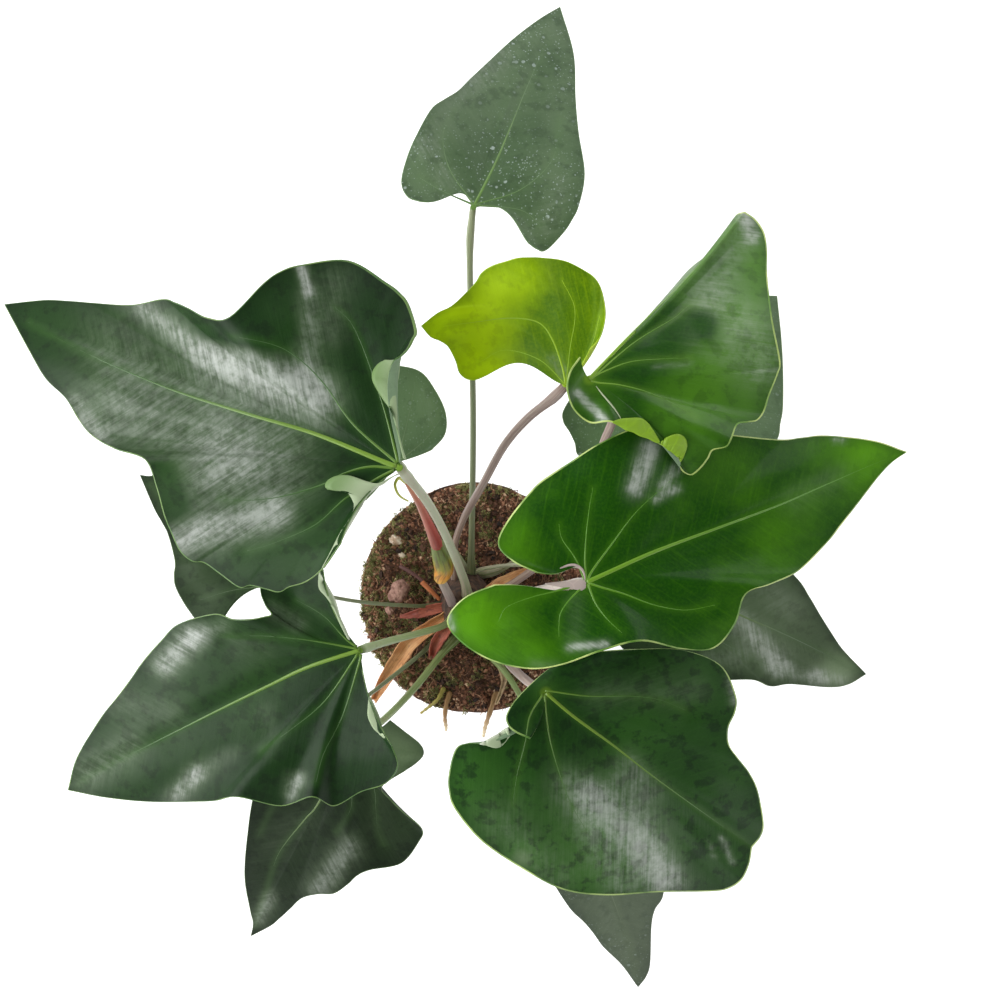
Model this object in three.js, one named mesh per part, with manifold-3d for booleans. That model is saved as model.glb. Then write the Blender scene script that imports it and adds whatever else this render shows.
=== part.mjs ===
// A potted arrow anthurium: arrow-shaped leaves on long stalks, grown from one short crown in a
// small nursery pot. Millimetres, +Z up, origin at the middle of the pot's underside.
import * as THREE from 'three';
import { mergeVertices } from 'three/addons/utils/BufferGeometryUtils.js';
import Module from 'manifold-3d';

const wasm = await Module();
wasm.setup();

// Pot and soil
const POT_HEIGHT = 100;
const POT_TOP_RADIUS = 55.5;
const POT_BASE_RADIUS = 43;
const POT_BASE_ROUNDING = 1;
const POT_BAND_HEIGHT = 12;
const POT_BAND_STEP = 1.4;
const POT_BAND_ROUNDING = 0.6;
const POT_WALL = 1.8;
const POT_FLOOR = 2.4;
const POT_SIDES = 40;
const DRAIN_HOLES = 6;
const DRAIN_RADIUS = 4.5;
const DRAIN_CIRCLE = 29;
const DRAIN_SIDES = 12;
const SOIL_LEVEL = 100;
const SOIL_MOUND = 4;
const SOIL_FALL = 1.6;
const SOIL_RINGS = [9, 20, 31, 41, 49, 54.5];
const SOIL_SIDES = 32;
const SOIL_OVERHANG = 1.4;
const SOIL_EDGE_HEIGHT = 1.2;
const SOIL_EDGE_TUCK = 0.7;
const SOIL_SWELL = 0.8;
const SOIL_SWELL_SIDE = 2.2;
const SOIL_LOBES = 5;
const SOIL_LOBE_SIZE = 0.4;
const GAP = 0.3;

// The outlines below are laid out as the plant looks from this point, straight above it, at the
// scale of the soil. What stands higher is nearer to that point, so it is drawn in towards it.
const VIEW_X = 13;
const VIEW_Y = 49;
const VIEW_Z = 1300;

// Leaves
const BLADE_THICKNESS = 0.9;
const RING_STEPS = [0.17, 0.4, 0.63, 0.84, 1];
const RAYS_PER_POINT = 1.3;
const VALLEY_ROUNDING = 4;

// Stalks: the swelling below each blade, as a share of the way up
const STALK_SIDES = 8;
const STALK_STEPS = 10;
const STALK_SWELLING = 0.5;
const SWELLING_PLACE = 0.93;
const SWELLING_LENGTH = 0.05;
const STALK_DOME = [35, 65];

// Dry sheaths
const SHEATH_THICKNESS = 0.9;
const SHEATH_STEPS = 9;

// Crown
const CROWN_X = -4;
const CROWN_Y = -3;
const CROWN_FOOT = 80;
const CROWN_TOP = 122;
const CROWN_RADIUS = 13;
const CROWN_STRETCH = 1.35;
const CROWN_STEPS = 10;
const CROWN_SIDES = 20;

function place(x, y, z) {
  const scale = (VIEW_Z - z) / (VIEW_Z - SOIL_LEVEL);
  return new THREE.Vector3(VIEW_X + (x - VIEW_X) * scale, VIEW_Y + (y - VIEW_Y) * scale, z);
}

function smoothCurve(points) {
  return new THREE.CatmullRomCurve3(points, false, 'catmullrom', 0.5);
}

function smoothStep(u) {
  return u * u * (3 - 2 * u);
}

// A leaf: its hub, where the stalk joins, its tip, the two margins, each from the notch at the
// hub round its lobe towards the tip, and the posture. A margin point is x, y and the lift of
// the edge above the blade's own arched surface. rib bends the midrib to the left, and notch
// bends the edges of the notch outwards, both as a share of their length.
const LEAVES = [
  {
    name: 'leaf_01', colour: 0x1e3c1e, rough: 0.32,
    hub: [-37, 65, 330], tip: [-234.8, 146.8, 262],
    arch: 0.7, vee: 0.16, droop: 0.2, rib: 0.02, notch: [-0.2, -0.03],
    left: [
      [-66.6, 27.2, 9], [-75.6, 14.7, 3], [-91.5, 6, -2], [-111.4, 2.2, -4], [-135.5, 16, -5],
      [-149.5, 28, -2], [-155, 41.5, 2], [-159, 56, 7], [-164.7, 69.3, 8], [-179.6, 74.7, 2],
      [-190.9, 81.1, -3], [-197.7, 89.3, -3.5], [-204.2, 100, -4], [-213.9, 109.5, -2.5],
      [-221.4, 121.9, -1],
    ],
    right: [
      [-38, 119, 5], [-36.5, 121, 4], [-33.5, 122.5, 3], [-30.5, 125.5, 2], [-28.8, 129.5, 1],
      [-28.5, 134, 0],
      [-32.3, 146.5, -3], [-36.8, 152.4, -4], [-43.6, 157.6, -5], [-62.7, 168.7, -6], [-86, 166.6, -2],
      [-96.6, 163.4, 1.5], [-105.8, 156.9, 5], [-122.2, 140.6, 10], [-133.5, 140.2, 7.5],
      [-143.8, 145.3, 5], [-150, 147.9, 2.5], [-156, 149.5, 0], [-171, 146.6, -4], [-190, 147.5, -6],
      [-202.4, 148.4, -4.5], [-215, 148.9, -3],
    ],
  },
  {
    name: 'leaf_02', colour: 0x1e3c1e, rough: 0.32,
    hub: [-57, -26, 290], tip: [-203, -96, 222],
    arch: 0.7, vee: 0.16, droop: 0.2, rib: 0.03, notch: [-0.06, -0.17],
    left: [
      [-41, -74, 9], [-38, -84, 5], [-44.1, -92.8, 1], [-56.5, -97, -3], [-70, -104, -5], [-81, -99.5, 3],
      [-96.5, -104, -4], [-118, -99.5, 4], [-129.9, -101.5, 0.5], [-142, -101.9, -3], [-163, -101.8, -4],
      [-184, -99.7, -2],
    ],
    right: [
      [-75.4, 13.8, 8], [-80, 26, 4], [-91, 34, 0], [-104, 26, -4], [-107, 6, 0], [-104.7, -2.8, 2],
      [-101.4, -7.9, 4], [-105.4, -9.4, 5], [-112, -10.6, 6], [-120.9, -10.6, 4], [-130, -8, 2],
      [-147.6, -12.9, -3], [-156.3, -21.2, -3.5], [-164.9, -30.9, -4], [-171.6, -40.5, -3.5],
      [-178.4, -49.5, -3], [-185.4, -58.2, -2.5], [-191.3, -67.2, -2], [-196.3, -75.5, -1],
      [-199.9, -83.4, 0],
    ],
  },
  {
    name: 'leaf_03', colour: 0x2d412d, rough: 0.5,
    hub: [-62, -72, 226], tip: [-111.5, -169, 150],
    arch: 0.7, vee: 0.12, droop: 0.2, rib: 0, notch: [0, 0],
    left: [
      [-42, -61, 2], [-34.6, -66.8, 1], [-26.9, -73, -2], [-25.1, -77.9, -2], [-28.5, -82.3, -2],
      [-34, -86.2, 0], [-44, -94.5, 3], [-40, -101, 4], [-33.5, -108.5, 2], [-28.5, -112.7, 0], [-25.6, -116.6, -1.5],
      [-26.8, -120.7, -3], [-36.1, -132.4, -4], [-52, -135.9, 1], [-58.6, -138.9, 2.5], [-63.3, -143.3, 4],
      [-70, -147.7, 3], [-78, -148, 2], [-85.9, -150, 0.5], [-91.8, -155.3, -1], [-96.7, -159.7, -1],
      [-101.5, -163.7, -1],
    ],
    right: [
      [-58, -58, 2], [-74, -57, -2], [-90, -66, -3], [-102, -82, 1], [-110, -98, 3], [-113.3, -118, 0],
      [-114.7, -139, -3], [-111.9, -155.9, -2], [-110.4, -162.6, -1],
    ],
  },
  {
    name: 'leaf_04', colour: 0x557058, rough: 0.6,
    hub: [-0.5, 195, 262], tip: [43, 295.5, 205],
    arch: 0.6, vee: 0.14, droop: 0.25, rib: 0.08, notch: [-0.5, -0.36],
    left: [
      [-27.1, 198.3, 2], [-33.3, 200.7, 0], [-36.4, 208, -3], [-33.4, 220.6, -2], [-28.4, 232.2, 2],
      [-21.5, 244.4, 4], [-15.3, 249.1, 2.5], [-8.3, 253.4, 1], [-2.1, 259.5, -0.5], [4.7, 265.8, -2],
      [19, 279, -3], [32.7, 289.4, -1],
    ],
    right: [
      [27.6, 177.2, 1], [31.5, 174.5, -1.5], [36.1, 173.8, -4], [44.7, 182.5, -2], [49, 188.9, 0],
      [52.5, 196.3, 2], [55.4, 212, 4], [52.4, 232.4, 1], [50.8, 250, -3], [49.8, 272, -3],
    ],
  },
  {
    name: 'leaf_05', colour: 0x86b40e, rough: 0.38,
    hub: [46, 106.5, 300], tip: [-26.5, 136, 288],
    arch: 0.6, vee: 0.3, droop: 0.1, rib: -0.5, notch: [0, 0.1],
    left: [
      [19, 118.3, -5], [13, 114.4, -7], [4, 110.2, -10], [-2.9, 109.2, -10], [-8.1, 113.9, -8], [-11.1, 122.5, -5],
      [-13.4, 126.1, -3.5], [-17, 128.5, -2], [-21.9, 130.6, -1],
    ],
    right: [
      [57.8, 124.4, 4], [61.8, 128.7, 4], [64.3, 133.8, 4], [65.7, 143, 2], [64, 153.2, 0],
      [61.3, 159, -0.5], [56.2, 163.3, -1], [45.5, 168.6, 0], [34, 170.2, 2], [28, 170.4, 3],
      [21.8, 170.1, 4], [15.6, 168.3, 4], [9.3, 166.3, 4], [3.8, 162.8, 3], [0, 157, 2], [-10.5, 146.7, 0],
      [-18.6, 142.3, 0],
    ],
  },
  {
    name: 'leaf_06', colour: 0x326e28, rough: 0.28,
    hub: [57.5, 109.5, 345], tip: [135.5, 193, 300],
    arch: 0.65, vee: 0.05, droop: 0.1, rib: 0, notch: [0, -0.15],
    left: [
      [59.5, 112, -10], [68, 120, -22], [76, 128, -30], [84.5, 137, -33], [93, 146.5, -35],
      [100.5, 156, -36], [107, 164, -34], [116.5, 172, -28], [124.3, 180, -19], [128.3, 188, -9],
    ],
    right: [
      [53, 120.5, 9], [48, 113, 8], [46.5, 104, 4], [50, 94, 0], [58, 87.5, -2], [68, 88, 2], [80, 90, 7],
      [88, 85, 4], [92, 78, -3], [100, 82, 5], [106, 78, 4], [103.5, 67, -5], [109, 62, -8],
      [117, 71.5, -2], [127, 77, 4], [135, 87.5, 0], [145, 93, -4], [149, 106, -2], [153, 119, 2],
      [149, 140, 4], [146.5, 162, 0], [145.9, 180.1, -4], [142.4, 188, -2],
    ],
  },
  {
    name: 'leaf_07', colour: 0x2d7314, rough: 0.3,
    hub: [56.5, 8, 345], tip: [216.5, 73, 290],
    arch: 0.7, vee: 0.1, droop: 0.16, rib: 0.03, notch: [-0.3, 0.03],
    left: [
      [31, 13, 5], [19.5, 18.5, 1], [12, 27, -3], [17, 39, -6], [30.2, 55.3, -6], [38.8, 62, -4.5],
      [47.6, 67.6, -3], [63, 77.5, 2], [84, 86, 4], [108, 85, 2], [130, 81.5, -3], [153, 79.2, -4],
      [164.4, 80.2, -3], [176, 81.2, -2], [200, 78.6, 0],
    ],
    right: [
      [10, 6.5, 2], [-5, 0, -1], [-13.5, -11, -5], [-7, -21.5, -6], [8, -31, -6], [27.5, -35.5, -3],
      [44, -33.5, 0], [64, -26.5, 4], [84, -21.5, 5], [104, -25.5, -2], [120, -25, -5], [130.5, -13, -3],
      [136, 2, 3], [148.5, 7, 4], [162.7, 13.9, 0], [176.4, 27.6, -3], [183, 35.9, -2.5],
      [189.7, 44.5, -2], [196.2, 53, -1], [202.6, 61.2, 0], [209.1, 67.9, 0],
    ],
  },
  {
    name: 'leaf_08', colour: 0x285028, rough: 0.32,
    hub: [36, -47.5, 330], tip: [139, -124.5, 284],
    arch: 0.7, vee: 0.14, droop: 0.25, rib: -0.03, notch: [-0.1, -0.47],
    left: [
      [28, -70.5, 5], [20.5, -67, 3], [16.8, -63.3, 1.5], [16.4, -57.9, 0], [22.5, -49, -2],
      [35.5, -37, -3], [48.5, -29, -2], [64.5, -26.5, 0], [84, -25.5, -3], [104, -26, -6],
      [123, -33.5, -6], [130.6, -48.1, -2], [130.6, -56.7, 1], [127.1, -65, 4], [127.5, -73.3, 3.5],
      [132.3, -80.4, 3], [137.8, -87.6, 0.5], [141.7, -95.9, -2], [144.7, -112.1, -3], [143.2, -119.1, -1.5],
    ],
    right: [
      [3.7, -72.4, 2], [-3, -72.7, 0], [-9.3, -75.6, -2], [-12.6, -88, -4], [-12.5, -96.2, -4.5],
      [-9.7, -105.1, -5], [3.2, -120.8, -4], [22.2, -134, -2], [44, -145.5, 0], [66, -148.5, 2],
      [92, -147, 2], [118.1, -146.6, -2], [127.2, -145.1, -3], [133.7, -140.7, -4], [137.4, -133.1, -2],
    ],
  },
  {
    name: 'leaf_09', colour: 0x3c503c, rough: 0.45,
    hub: [88, 13, 222], tip: [196, -38, 176],
    arch: 0.7, vee: 0.12, droop: 0.2, rib: 0, notch: [0.05, 0.05],
    left: [
      [74, 24, 2], [76, 38, -1], [92, 47, -3], [112, 46, 0], [135, 34, 3], [160, 11.5, 0],
      [167.6, 0.8, -1.5], [173.4, -9.1, -3], [179.2, -18.3, -2.5], [184.8, -26.3, -2],
    ],
    right: [
      [72, 3, 2], [66, -10, -1], [74, -25, -3], [92, -36, -2], [115, -41, 1], [138.6, -40.9, 3],
      [148.4, -44.2, 1.5], [158, -43.1, 0], [176.9, -44.6, -2], [187, -43.2, -1],
    ],
  },
  {
    name: 'leaf_10', colour: 0x5f6e5f, rough: 0.55,
    hub: [40, -80, 204], tip: [82, -194.5, 136],
    arch: 0.7, vee: 0.12, droop: 0.2, rib: 0.04, notch: [0.05, 0.05],
    left: [
      [50, -72, 1], [64, -74, -2], [78, -90, -3], [89, -110, 0], [95, -130, 2], [94.7, -148, 1],
      [90.4, -155.8, 0], [88.7, -164.5, -1], [88.1, -182, -2], [86.1, -189, -1],
    ],
    right: [
      [29, -74, 1], [17, -84, -2], [15, -101, -3], [24, -120, 0], [36, -137, 2], [44.7, -150.6, 0],
      [49.4, -156.9, -1], [54.9, -161.9, -2], [59.5, -167.3, -2], [64.6, -174.3, -2], [73.7, -183.2, -1],
    ],
  },
  {
    name: 'leaf_11', colour: 0x55705a, rough: 0.55,
    hub: [82, 84, 240], tip: [151.5, 151, 200],
    arch: 0.7, vee: 0.12, droop: 0.2, rib: 0, notch: [0.05, 0.05],
    left: [
      [59, 69, 1], [51.9, 71.5, -1], [50.4, 77.3, -2], [47.7, 83.1, -3], [44.6, 88.3, -2.5],
      [44.8, 94.2, -2], [52, 104, 1], [64, 110, 2], [80, 122, 0], [100, 138, -2], [124, 151, -2],
    ],
    right: [
      [74, 64, 1], [86, 56, -2], [103, 53, -3], [124, 56, 0], [142, 65, 2], [151.5, 79, 0],
      [153.1, 87, -1], [154.4, 95.1, -2], [154.5, 112, -2], [153.6, 130.1, 0],
    ],
  },
  {
    name: 'leaf_12', colour: 0x506a52, rough: 0.55,
    hub: [-94.5, 6.5, 208], tip: [-167, 61.5, 170],
    arch: 0.7, vee: 0.12, droop: 0.2, rib: 0, notch: [-0.33, 0.05],
    left: [
      [-125, -10, 1], [-135, -14, -2], [-142.8, -5.9, -3], [-149, 4.9, 0], [-150, 11.6, 1],
      [-149.6, 18.5, 2], [-152.9, 31.5, 0], [-155.9, 37.6, -0.5], [-159.8, 44.6, -1],
    ],
    right: [
      [-84, 20, 1], [-85, 34, -2], [-96, 47, -3], [-116, 57, 0], [-138, 61.5, 1], [-156, 62.5, 0],
      [-161.8, 61, 0],
    ],
  },
  {
    name: 'leaf_13', colour: 0x557058, rough: 0.6,
    hub: [-38, 68, 252], tip: [-118, 102, 214],
    arch: 0.7, vee: 0.12, droop: 0.2, rib: 0, notch: [0.05, 0.05],
    left: [
      [-54, 49, 1], [-66, 46, -2], [-82, 52, -3], [-98, 66, 0], [-111, 83, 1],
    ],
    right: [
      [-21.1, 74.1, 1], [-14.4, 82.1, -1], [-14.2, 92.9, -3], [-20, 105, -2], [-27.6, 113.7, 0],
      [-42, 117, 2], [-62, 121, 0], [-84, 120, -2], [-104, 112, -1],
    ],
  },
  {
    name: 'leaf_14', colour: 0x4a6a3c, rough: 0.5,
    hub: [-64, -56, 186], tip: [-128, -72, 160],
    arch: 0.7, vee: 0.14, droop: 0.2, rib: 0, notch: [0.05, 0.05],
    left: [
      [-56, -68, 1], [-62, -78, -1], [-78, -82, -2], [-98, -81, 0], [-114, -77, 0],
    ],
    right: [
      [-60, -46, 1], [-68, -38, -1], [-84, -38, -2], [-102, -47, 0], [-117, -60, 0],
    ],
  },
];

function posture(leaf) {
  const [hubX, hubY, hubZ] = leaf.hub;
  const [tipX, tipY, tipZ] = leaf.tip;
  const length = Math.hypot(tipX - hubX, tipY - hubY);
  const axisX = (tipX - hubX) / length;
  const axisY = (tipY - hubY) / length;
  const fall = hubZ - tipZ;
  return (x, y) => {
    const along = ((x - hubX) * axisX + (y - hubY) * axisY) / length;
    const across = (x - hubX) * axisY - (y - hubY) * axisX;
    const slope = fall * (along * (1 - leaf.arch) + along * along * leaf.arch);
    const trough = leaf.vee * (Math.hypot(across, VALLEY_ROUNDING) - VALLEY_ROUNDING);
    return hubZ - slope + trough - (leaf.droop * across * across) / 100;
  };
}

// One ray of the blade, from the hub to a margin point, as a row of points on its middle surface.
function bladeRay(leaf, surface, margin, bend) {
  const [hubX, hubY] = leaf.hub;
  const runX = margin.x - hubX;
  const runY = margin.y - hubY;
  return RING_STEPS.map((t) => {
    const bow = 2 * t * (1 - t) * bend;
    const x = hubX + runX * t - runY * bow;
    const y = hubY + runY * t + runX * bow;
    return place(x, y, surface(x, y) + margin.z * t);
  });
}

function sideRays(leaf, surface, points, side) {
  const margin = smoothCurve([...points, [leaf.tip[0], leaf.tip[1], 0]].map((p) => new THREE.Vector3(...p)));
  const count = Math.round(points.length * RAYS_PER_POINT);
  const notchBend = side * leaf.notch[side > 0 ? 0 : 1];
  const rays = [];
  for (let i = 0; i < count; i += 1) {
    const u = i / count;
    const bend = THREE.MathUtils.lerp(notchBend, leaf.rib, smoothStep(u));
    rays.push(bladeRay(leaf, surface, margin.getPoint(u), bend));
  }
  return rays;
}

// The middle surface of a blade: the hub's vertex and the rays from the right notch edge, over
// the midrib, to the left one, with the triangles of the upper face.
function bladeSheet(leaf) {
  const surface = posture(leaf);
  const right = sideRays(leaf, surface, leaf.right, -1);
  const left = sideRays(leaf, surface, leaf.left, 1);
  const midrib = bladeRay(leaf, surface, new THREE.Vector3(leaf.tip[0], leaf.tip[1], 0), leaf.rib);
  const rays = [...right, midrib, ...left.reverse()];
  const rings = RING_STEPS.length;
  const points = [place(...leaf.hub), ...rays.flat()];
  const at = (ray, ring) => 1 + ray * rings + ring;
  const faces = [];
  for (let i = 0; i + 1 < rays.length; i += 1) {
    faces.push([0, at(i, 0), at(i + 1, 0)]);
    for (let j = 0; j + 1 < rings; j += 1) {
      faces.push([at(i, j), at(i, j + 1), at(i + 1, j + 1)]);
      faces.push([at(i, j), at(i + 1, j + 1), at(i + 1, j)]);
    }
  }
  const rim = [0];
  for (let j = 0; j < rings; j += 1) rim.push(at(0, j));
  for (let i = 1; i + 1 < rays.length; i += 1) rim.push(at(i, rings - 1));
  for (let j = rings - 1; j >= 0; j -= 1) rim.push(at(rays.length - 1, j));
  return { points, faces, rim };
}

function sheetNormals({ points, faces }) {
  const normals = points.map(() => new THREE.Vector3());
  for (const [a, b, c] of faces) {
    const edge = points[b].clone().sub(points[a]);
    const normal = edge.cross(points[c].clone().sub(points[a]));
    for (const corner of [a, b, c]) normals[corner].add(normal);
  }
  return normals.map((normal) => normal.normalize());
}

// A sheet given a thickness: two faces split into triangles alike, and a wall round the rim.
function thicken(sheet, thickness) {
  const normals = sheetNormals(sheet);
  const count = sheet.points.length;
  const half = thickness / 2;
  const upper = sheet.points.map((p, i) => p.clone().addScaledVector(normals[i], half));
  const lower = sheet.points.map((p, i) => p.clone().addScaledVector(normals[i], -half));
  const index = sheet.faces.flat();
  for (const [a, b, c] of sheet.faces) index.push(count + a, count + c, count + b);
  sheet.rim.forEach((a, i) => {
    const b = sheet.rim[(i + 1) % sheet.rim.length];
    index.push(a, count + a, count + b, a, count + b, b);
  });
  const geometry = new THREE.BufferGeometry();
  geometry.setFromPoints([...upper, ...lower]);
  geometry.setIndex(index);
  return geometry;
}

// A stalk: rings along a curve, with a radius at each end, a swelling below its top, a flat
// foot and a domed top. grow makes a fatter copy, which cuts the hole that the stalk stands in.
function stalk(points, footRadius, topRadius, options = {}) {
  const { sides = STALK_SIDES, steps = STALK_STEPS, swelling = 0, belly = 0, grow = 0 } = options;
  const curve = smoothCurve(points);
  const frames = curve.computeFrenetFrames(steps, false);
  const rings = [];
  for (let i = 0; i <= steps; i += 1) {
    const u = i / steps;
    const knee = swelling * Math.exp(-(((u - SWELLING_PLACE) / SWELLING_LENGTH) ** 2));
    const bulge = knee + belly * Math.sin(Math.PI * u);
    const radius = THREE.MathUtils.lerp(footRadius, topRadius, u) + bulge + grow;
    rings.push({ centre: curve.getPointAt(u), radius, i });
  }
  rings[0].centre.addScaledVector(frames.tangents[0], -grow);
  const last = rings[steps];
  for (const angle of STALK_DOME) {
    const tilt = THREE.MathUtils.degToRad(angle);
    const centre = last.centre.clone().addScaledVector(frames.tangents[steps], last.radius * Math.sin(tilt));
    rings.push({ centre, radius: last.radius * Math.cos(tilt), i: steps });
  }
  const vertices = [rings[0].centre];
  for (const { centre, radius, i } of rings) {
    for (let s = 0; s < sides; s += 1) {
      const angle = (s / sides) * Math.PI * 2;
      const point = centre.clone();
      point.addScaledVector(frames.normals[i], radius * Math.cos(angle));
      point.addScaledVector(frames.binormals[i], radius * Math.sin(angle));
      vertices.push(point);
    }
  }
  vertices.push(last.centre.clone().addScaledVector(frames.tangents[steps], last.radius));
  const index = [];
  const at = (ring, s) => 1 + ring * sides + (s % sides);
  const end = vertices.length - 1;
  for (let s = 0; s < sides; s += 1) {
    index.push(0, at(0, s + 1), at(0, s));
    index.push(end, at(rings.length - 1, s), at(rings.length - 1, s + 1));
    for (let r = 0; r + 1 < rings.length; r += 1) {
      index.push(at(r, s), at(r, s + 1), at(r + 1, s + 1));
      index.push(at(r, s), at(r + 1, s + 1), at(r + 1, s));
    }
  }
  const geometry = new THREE.BufferGeometry();
  geometry.setFromPoints(vertices);
  geometry.setIndex(index);
  return geometry;
}

function solid(geometry) {
  const bare = geometry.clone();
  bare.deleteAttribute('normal');
  bare.deleteAttribute('uv');
  const merged = mergeVertices(bare, 1e-4);
  return new wasm.Manifold(new wasm.Mesh({
    numProp: 3,
    vertProperties: new Float32Array(merged.attributes.position.array),
    triVerts: new Uint32Array(merged.index.array),
  }));
}

// The piece itself, without the loose scraps that a cut leaves beside it.
function fromSolid(body) {
  const [piece] = body.decompose().sort((a, b) => b.volume() - a.volume());
  const mesh = piece.getMesh();
  const geometry = new THREE.BufferGeometry();
  geometry.setAttribute('position', new THREE.BufferAttribute(mesh.vertProperties, 3));
  geometry.setIndex(new THREE.BufferAttribute(mesh.triVerts, 1));
  return geometry;
}

const plant = new THREE.Group();
plant.name = 'potted_arrow_anthurium';

function addPiece(name, geometry, color, roughness) {
  geometry.computeVertexNormals();
  const mesh = new THREE.Mesh(geometry, new THREE.MeshStandardMaterial({ color, roughness, metalness: 0 }));
  mesh.name = name;
  plant.add(mesh);
}

// Stalks: the route from the crown to the hub of their leaf, which is its end, and the radius at
// each end. The thin ones belong to the small old leaves.
const STALKS = [
  { leaf: 'leaf_01', foot: 2.6, top: 2.8, colour: 0x96a582, route: [
    [-3, -1, 112], [-5, 9, 146], [-14, 31, 206], [-24, 49, 268]] },
  { leaf: 'leaf_02', foot: 2.2, top: 2.0, colour: 0x8fa078, route: [
    [-11, -11, 110], [-17, -14.5, 142], [-29, -18, 192], [-44, -22, 246]] },
  { leaf: 'leaf_03', foot: 2.1, top: 1.9, colour: 0x6f8f4c, route: [
    [-8, -19, 107], [-17, -29, 120], [-28, -43, 152], [-41, -57, 190], [-53, -67, 214]] },
  { leaf: 'leaf_04', foot: 1.9, top: 1.6, colour: 0x7f8f6c, route: [
    [-2, 9, 108], [-1.6, 30, 132], [-0.7, 90, 184], [-1.4, 150, 231], [-1.6, 178, 247]] },
  { leaf: 'leaf_05', foot: 2.1, top: 2.3, colour: 0x826e69, route: [
    [-9, 8, 109], [-10, 24, 136], [-6, 38, 162], [4, 55, 204], [20, 80, 256], [33, 92.3, 280]] },
  { leaf: 'leaf_06', foot: 2.4, top: 2.5, colour: 0x8a9474, route: [
    [6, 0, 109], [19, 7, 136], [38, 22, 190], [54, 48, 248], [65, 78, 296], [69, 92, 321]] },
  { leaf: 'leaf_07', foot: 2.5, top: 2.7, colour: 0xb0a498, route: [
    [2, -3, 114], [8, -2, 142], [20, 1, 200], [38, 5, 276]] },
  { leaf: 'leaf_08', foot: 2.6, top: 2.7, colour: 0xa09488, route: [
    [2, -10, 112], [8, -18, 142], [16, -31, 202], [26, -41, 268]] },
  { leaf: 'leaf_09', foot: 2.1, top: 1.9, colour: 0x7d8468, route: [
    [3, 6, 106], [9, 13, 122], [22, 16, 141], [54, 16, 186]] },
  { leaf: 'leaf_10', foot: 1.7, top: 1.5, colour: 0x74864e, route: [
    [-1, -19, 106], [7, -28, 116], [17, -39, 134], [27, -56, 162]] },
  { leaf: 'leaf_11', foot: 2.0, top: 1.9, colour: 0x7d8468, route: [
    [4, 11, 104], [14, 15, 110], [31, 30, 134], [56, 64, 192]] },
  { leaf: 'leaf_12', foot: 1.5, top: 1.3, colour: 0x6c7850, route: [
    [-14, -3, 105], [-28, -4, 116], [-56, -2, 150], [-78, 2, 182]] },
  { leaf: 'leaf_13', foot: 2.0, top: 1.8, colour: 0x7f8f6c, route: [
    [-5, 14, 104], [-10, 24, 118], [-18, 40, 152], [-29, 56, 202]] },
  { leaf: 'leaf_14', foot: 1.4, top: 1.2, colour: 0x70803e, route: [
    [-14, -16, 105], [-25, -28, 112], [-41, -42, 132], [-54, -51, 160]] },
];

function stalkPiece(entry) {
  const leaf = LEAVES.find((each) => each.name === entry.leaf);
  const sheet = bladeSheet(leaf);
  const normal = sheetNormals(sheet)[0];
  const end = sheet.points[0].clone().addScaledVector(normal, -(entry.top + BLADE_THICKNESS / 2 + GAP));
  const points = [...entry.route.map((p) => place(...p)), end];
  const shape = (grow) => solid(stalk(points, entry.foot, entry.top, { swelling: STALK_SWELLING, grow }));
  const clear = solid(thicken(sheet, BLADE_THICKNESS + 2 * GAP));
  const blade = solid(thicken(sheet, BLADE_THICKNESS));
  const body = shape(0).subtract(clear).subtract(blade);
  return { name: entry.leaf.replace('leaf', 'stalk'), body, socket: shape(GAP), entry };
}

// The new shoot: a stem out of the crown, a swollen joint, a red sheath and a curled thread.
const SHOOT_STEM = [[-10, -5, 112], [-12, 0, 126], [-15, 6, 138], [-17, 10, 146]];
const SHOOT_JOINT = [[-17, 10, 147], [-16.5, 14, 154], [-18, 20, 164], [-20.5, 26, 174]];
const SHOOT_SHEATH = [[-20.5, 26, 175], [-24, 37, 195], [-30, 49, 218], [-37, 60, 240]];
const SHOOT_THREAD = [[-37, 60, 240.6], [-39.5, 58, 246], [-40.5, 54, 247], [-38, 51, 243], [-34, 48.5, 236]];

function tube(points, footRadius, topRadius, options) {
  return solid(stalk(points.map((p) => place(...p)), footRadius, topRadius, options));
}

function shootPieces() {
  const stem = (grow) => tube(SHOOT_STEM, 2.0, 2.0, { steps: 5, grow });
  const joint = (grow) => tube(SHOOT_JOINT, 2.6, 2.4, { steps: 6, belly: 2, grow });
  const sheath = (grow) => tube(SHOOT_SHEATH, 2.3, 0.7, { steps: 6, grow });
  const thread = tube(SHOOT_THREAD, 0.6, 0.5, { sides: 6, steps: 9 });
  return [
    { name: 'shoot_stem', body: stem(0).subtract(joint(GAP)), socket: stem(GAP), colour: 0x8c7c78 },
    { name: 'shoot_joint', body: joint(0), colour: 0x9a8c28 },
    { name: 'shoot_sheath', body: sheath(0).subtract(joint(GAP)), colour: 0xaf4132 },
    { name: 'shoot_thread', body: thread.subtract(sheath(GAP)), colour: 0xc8cc70 },
  ];
}

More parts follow.
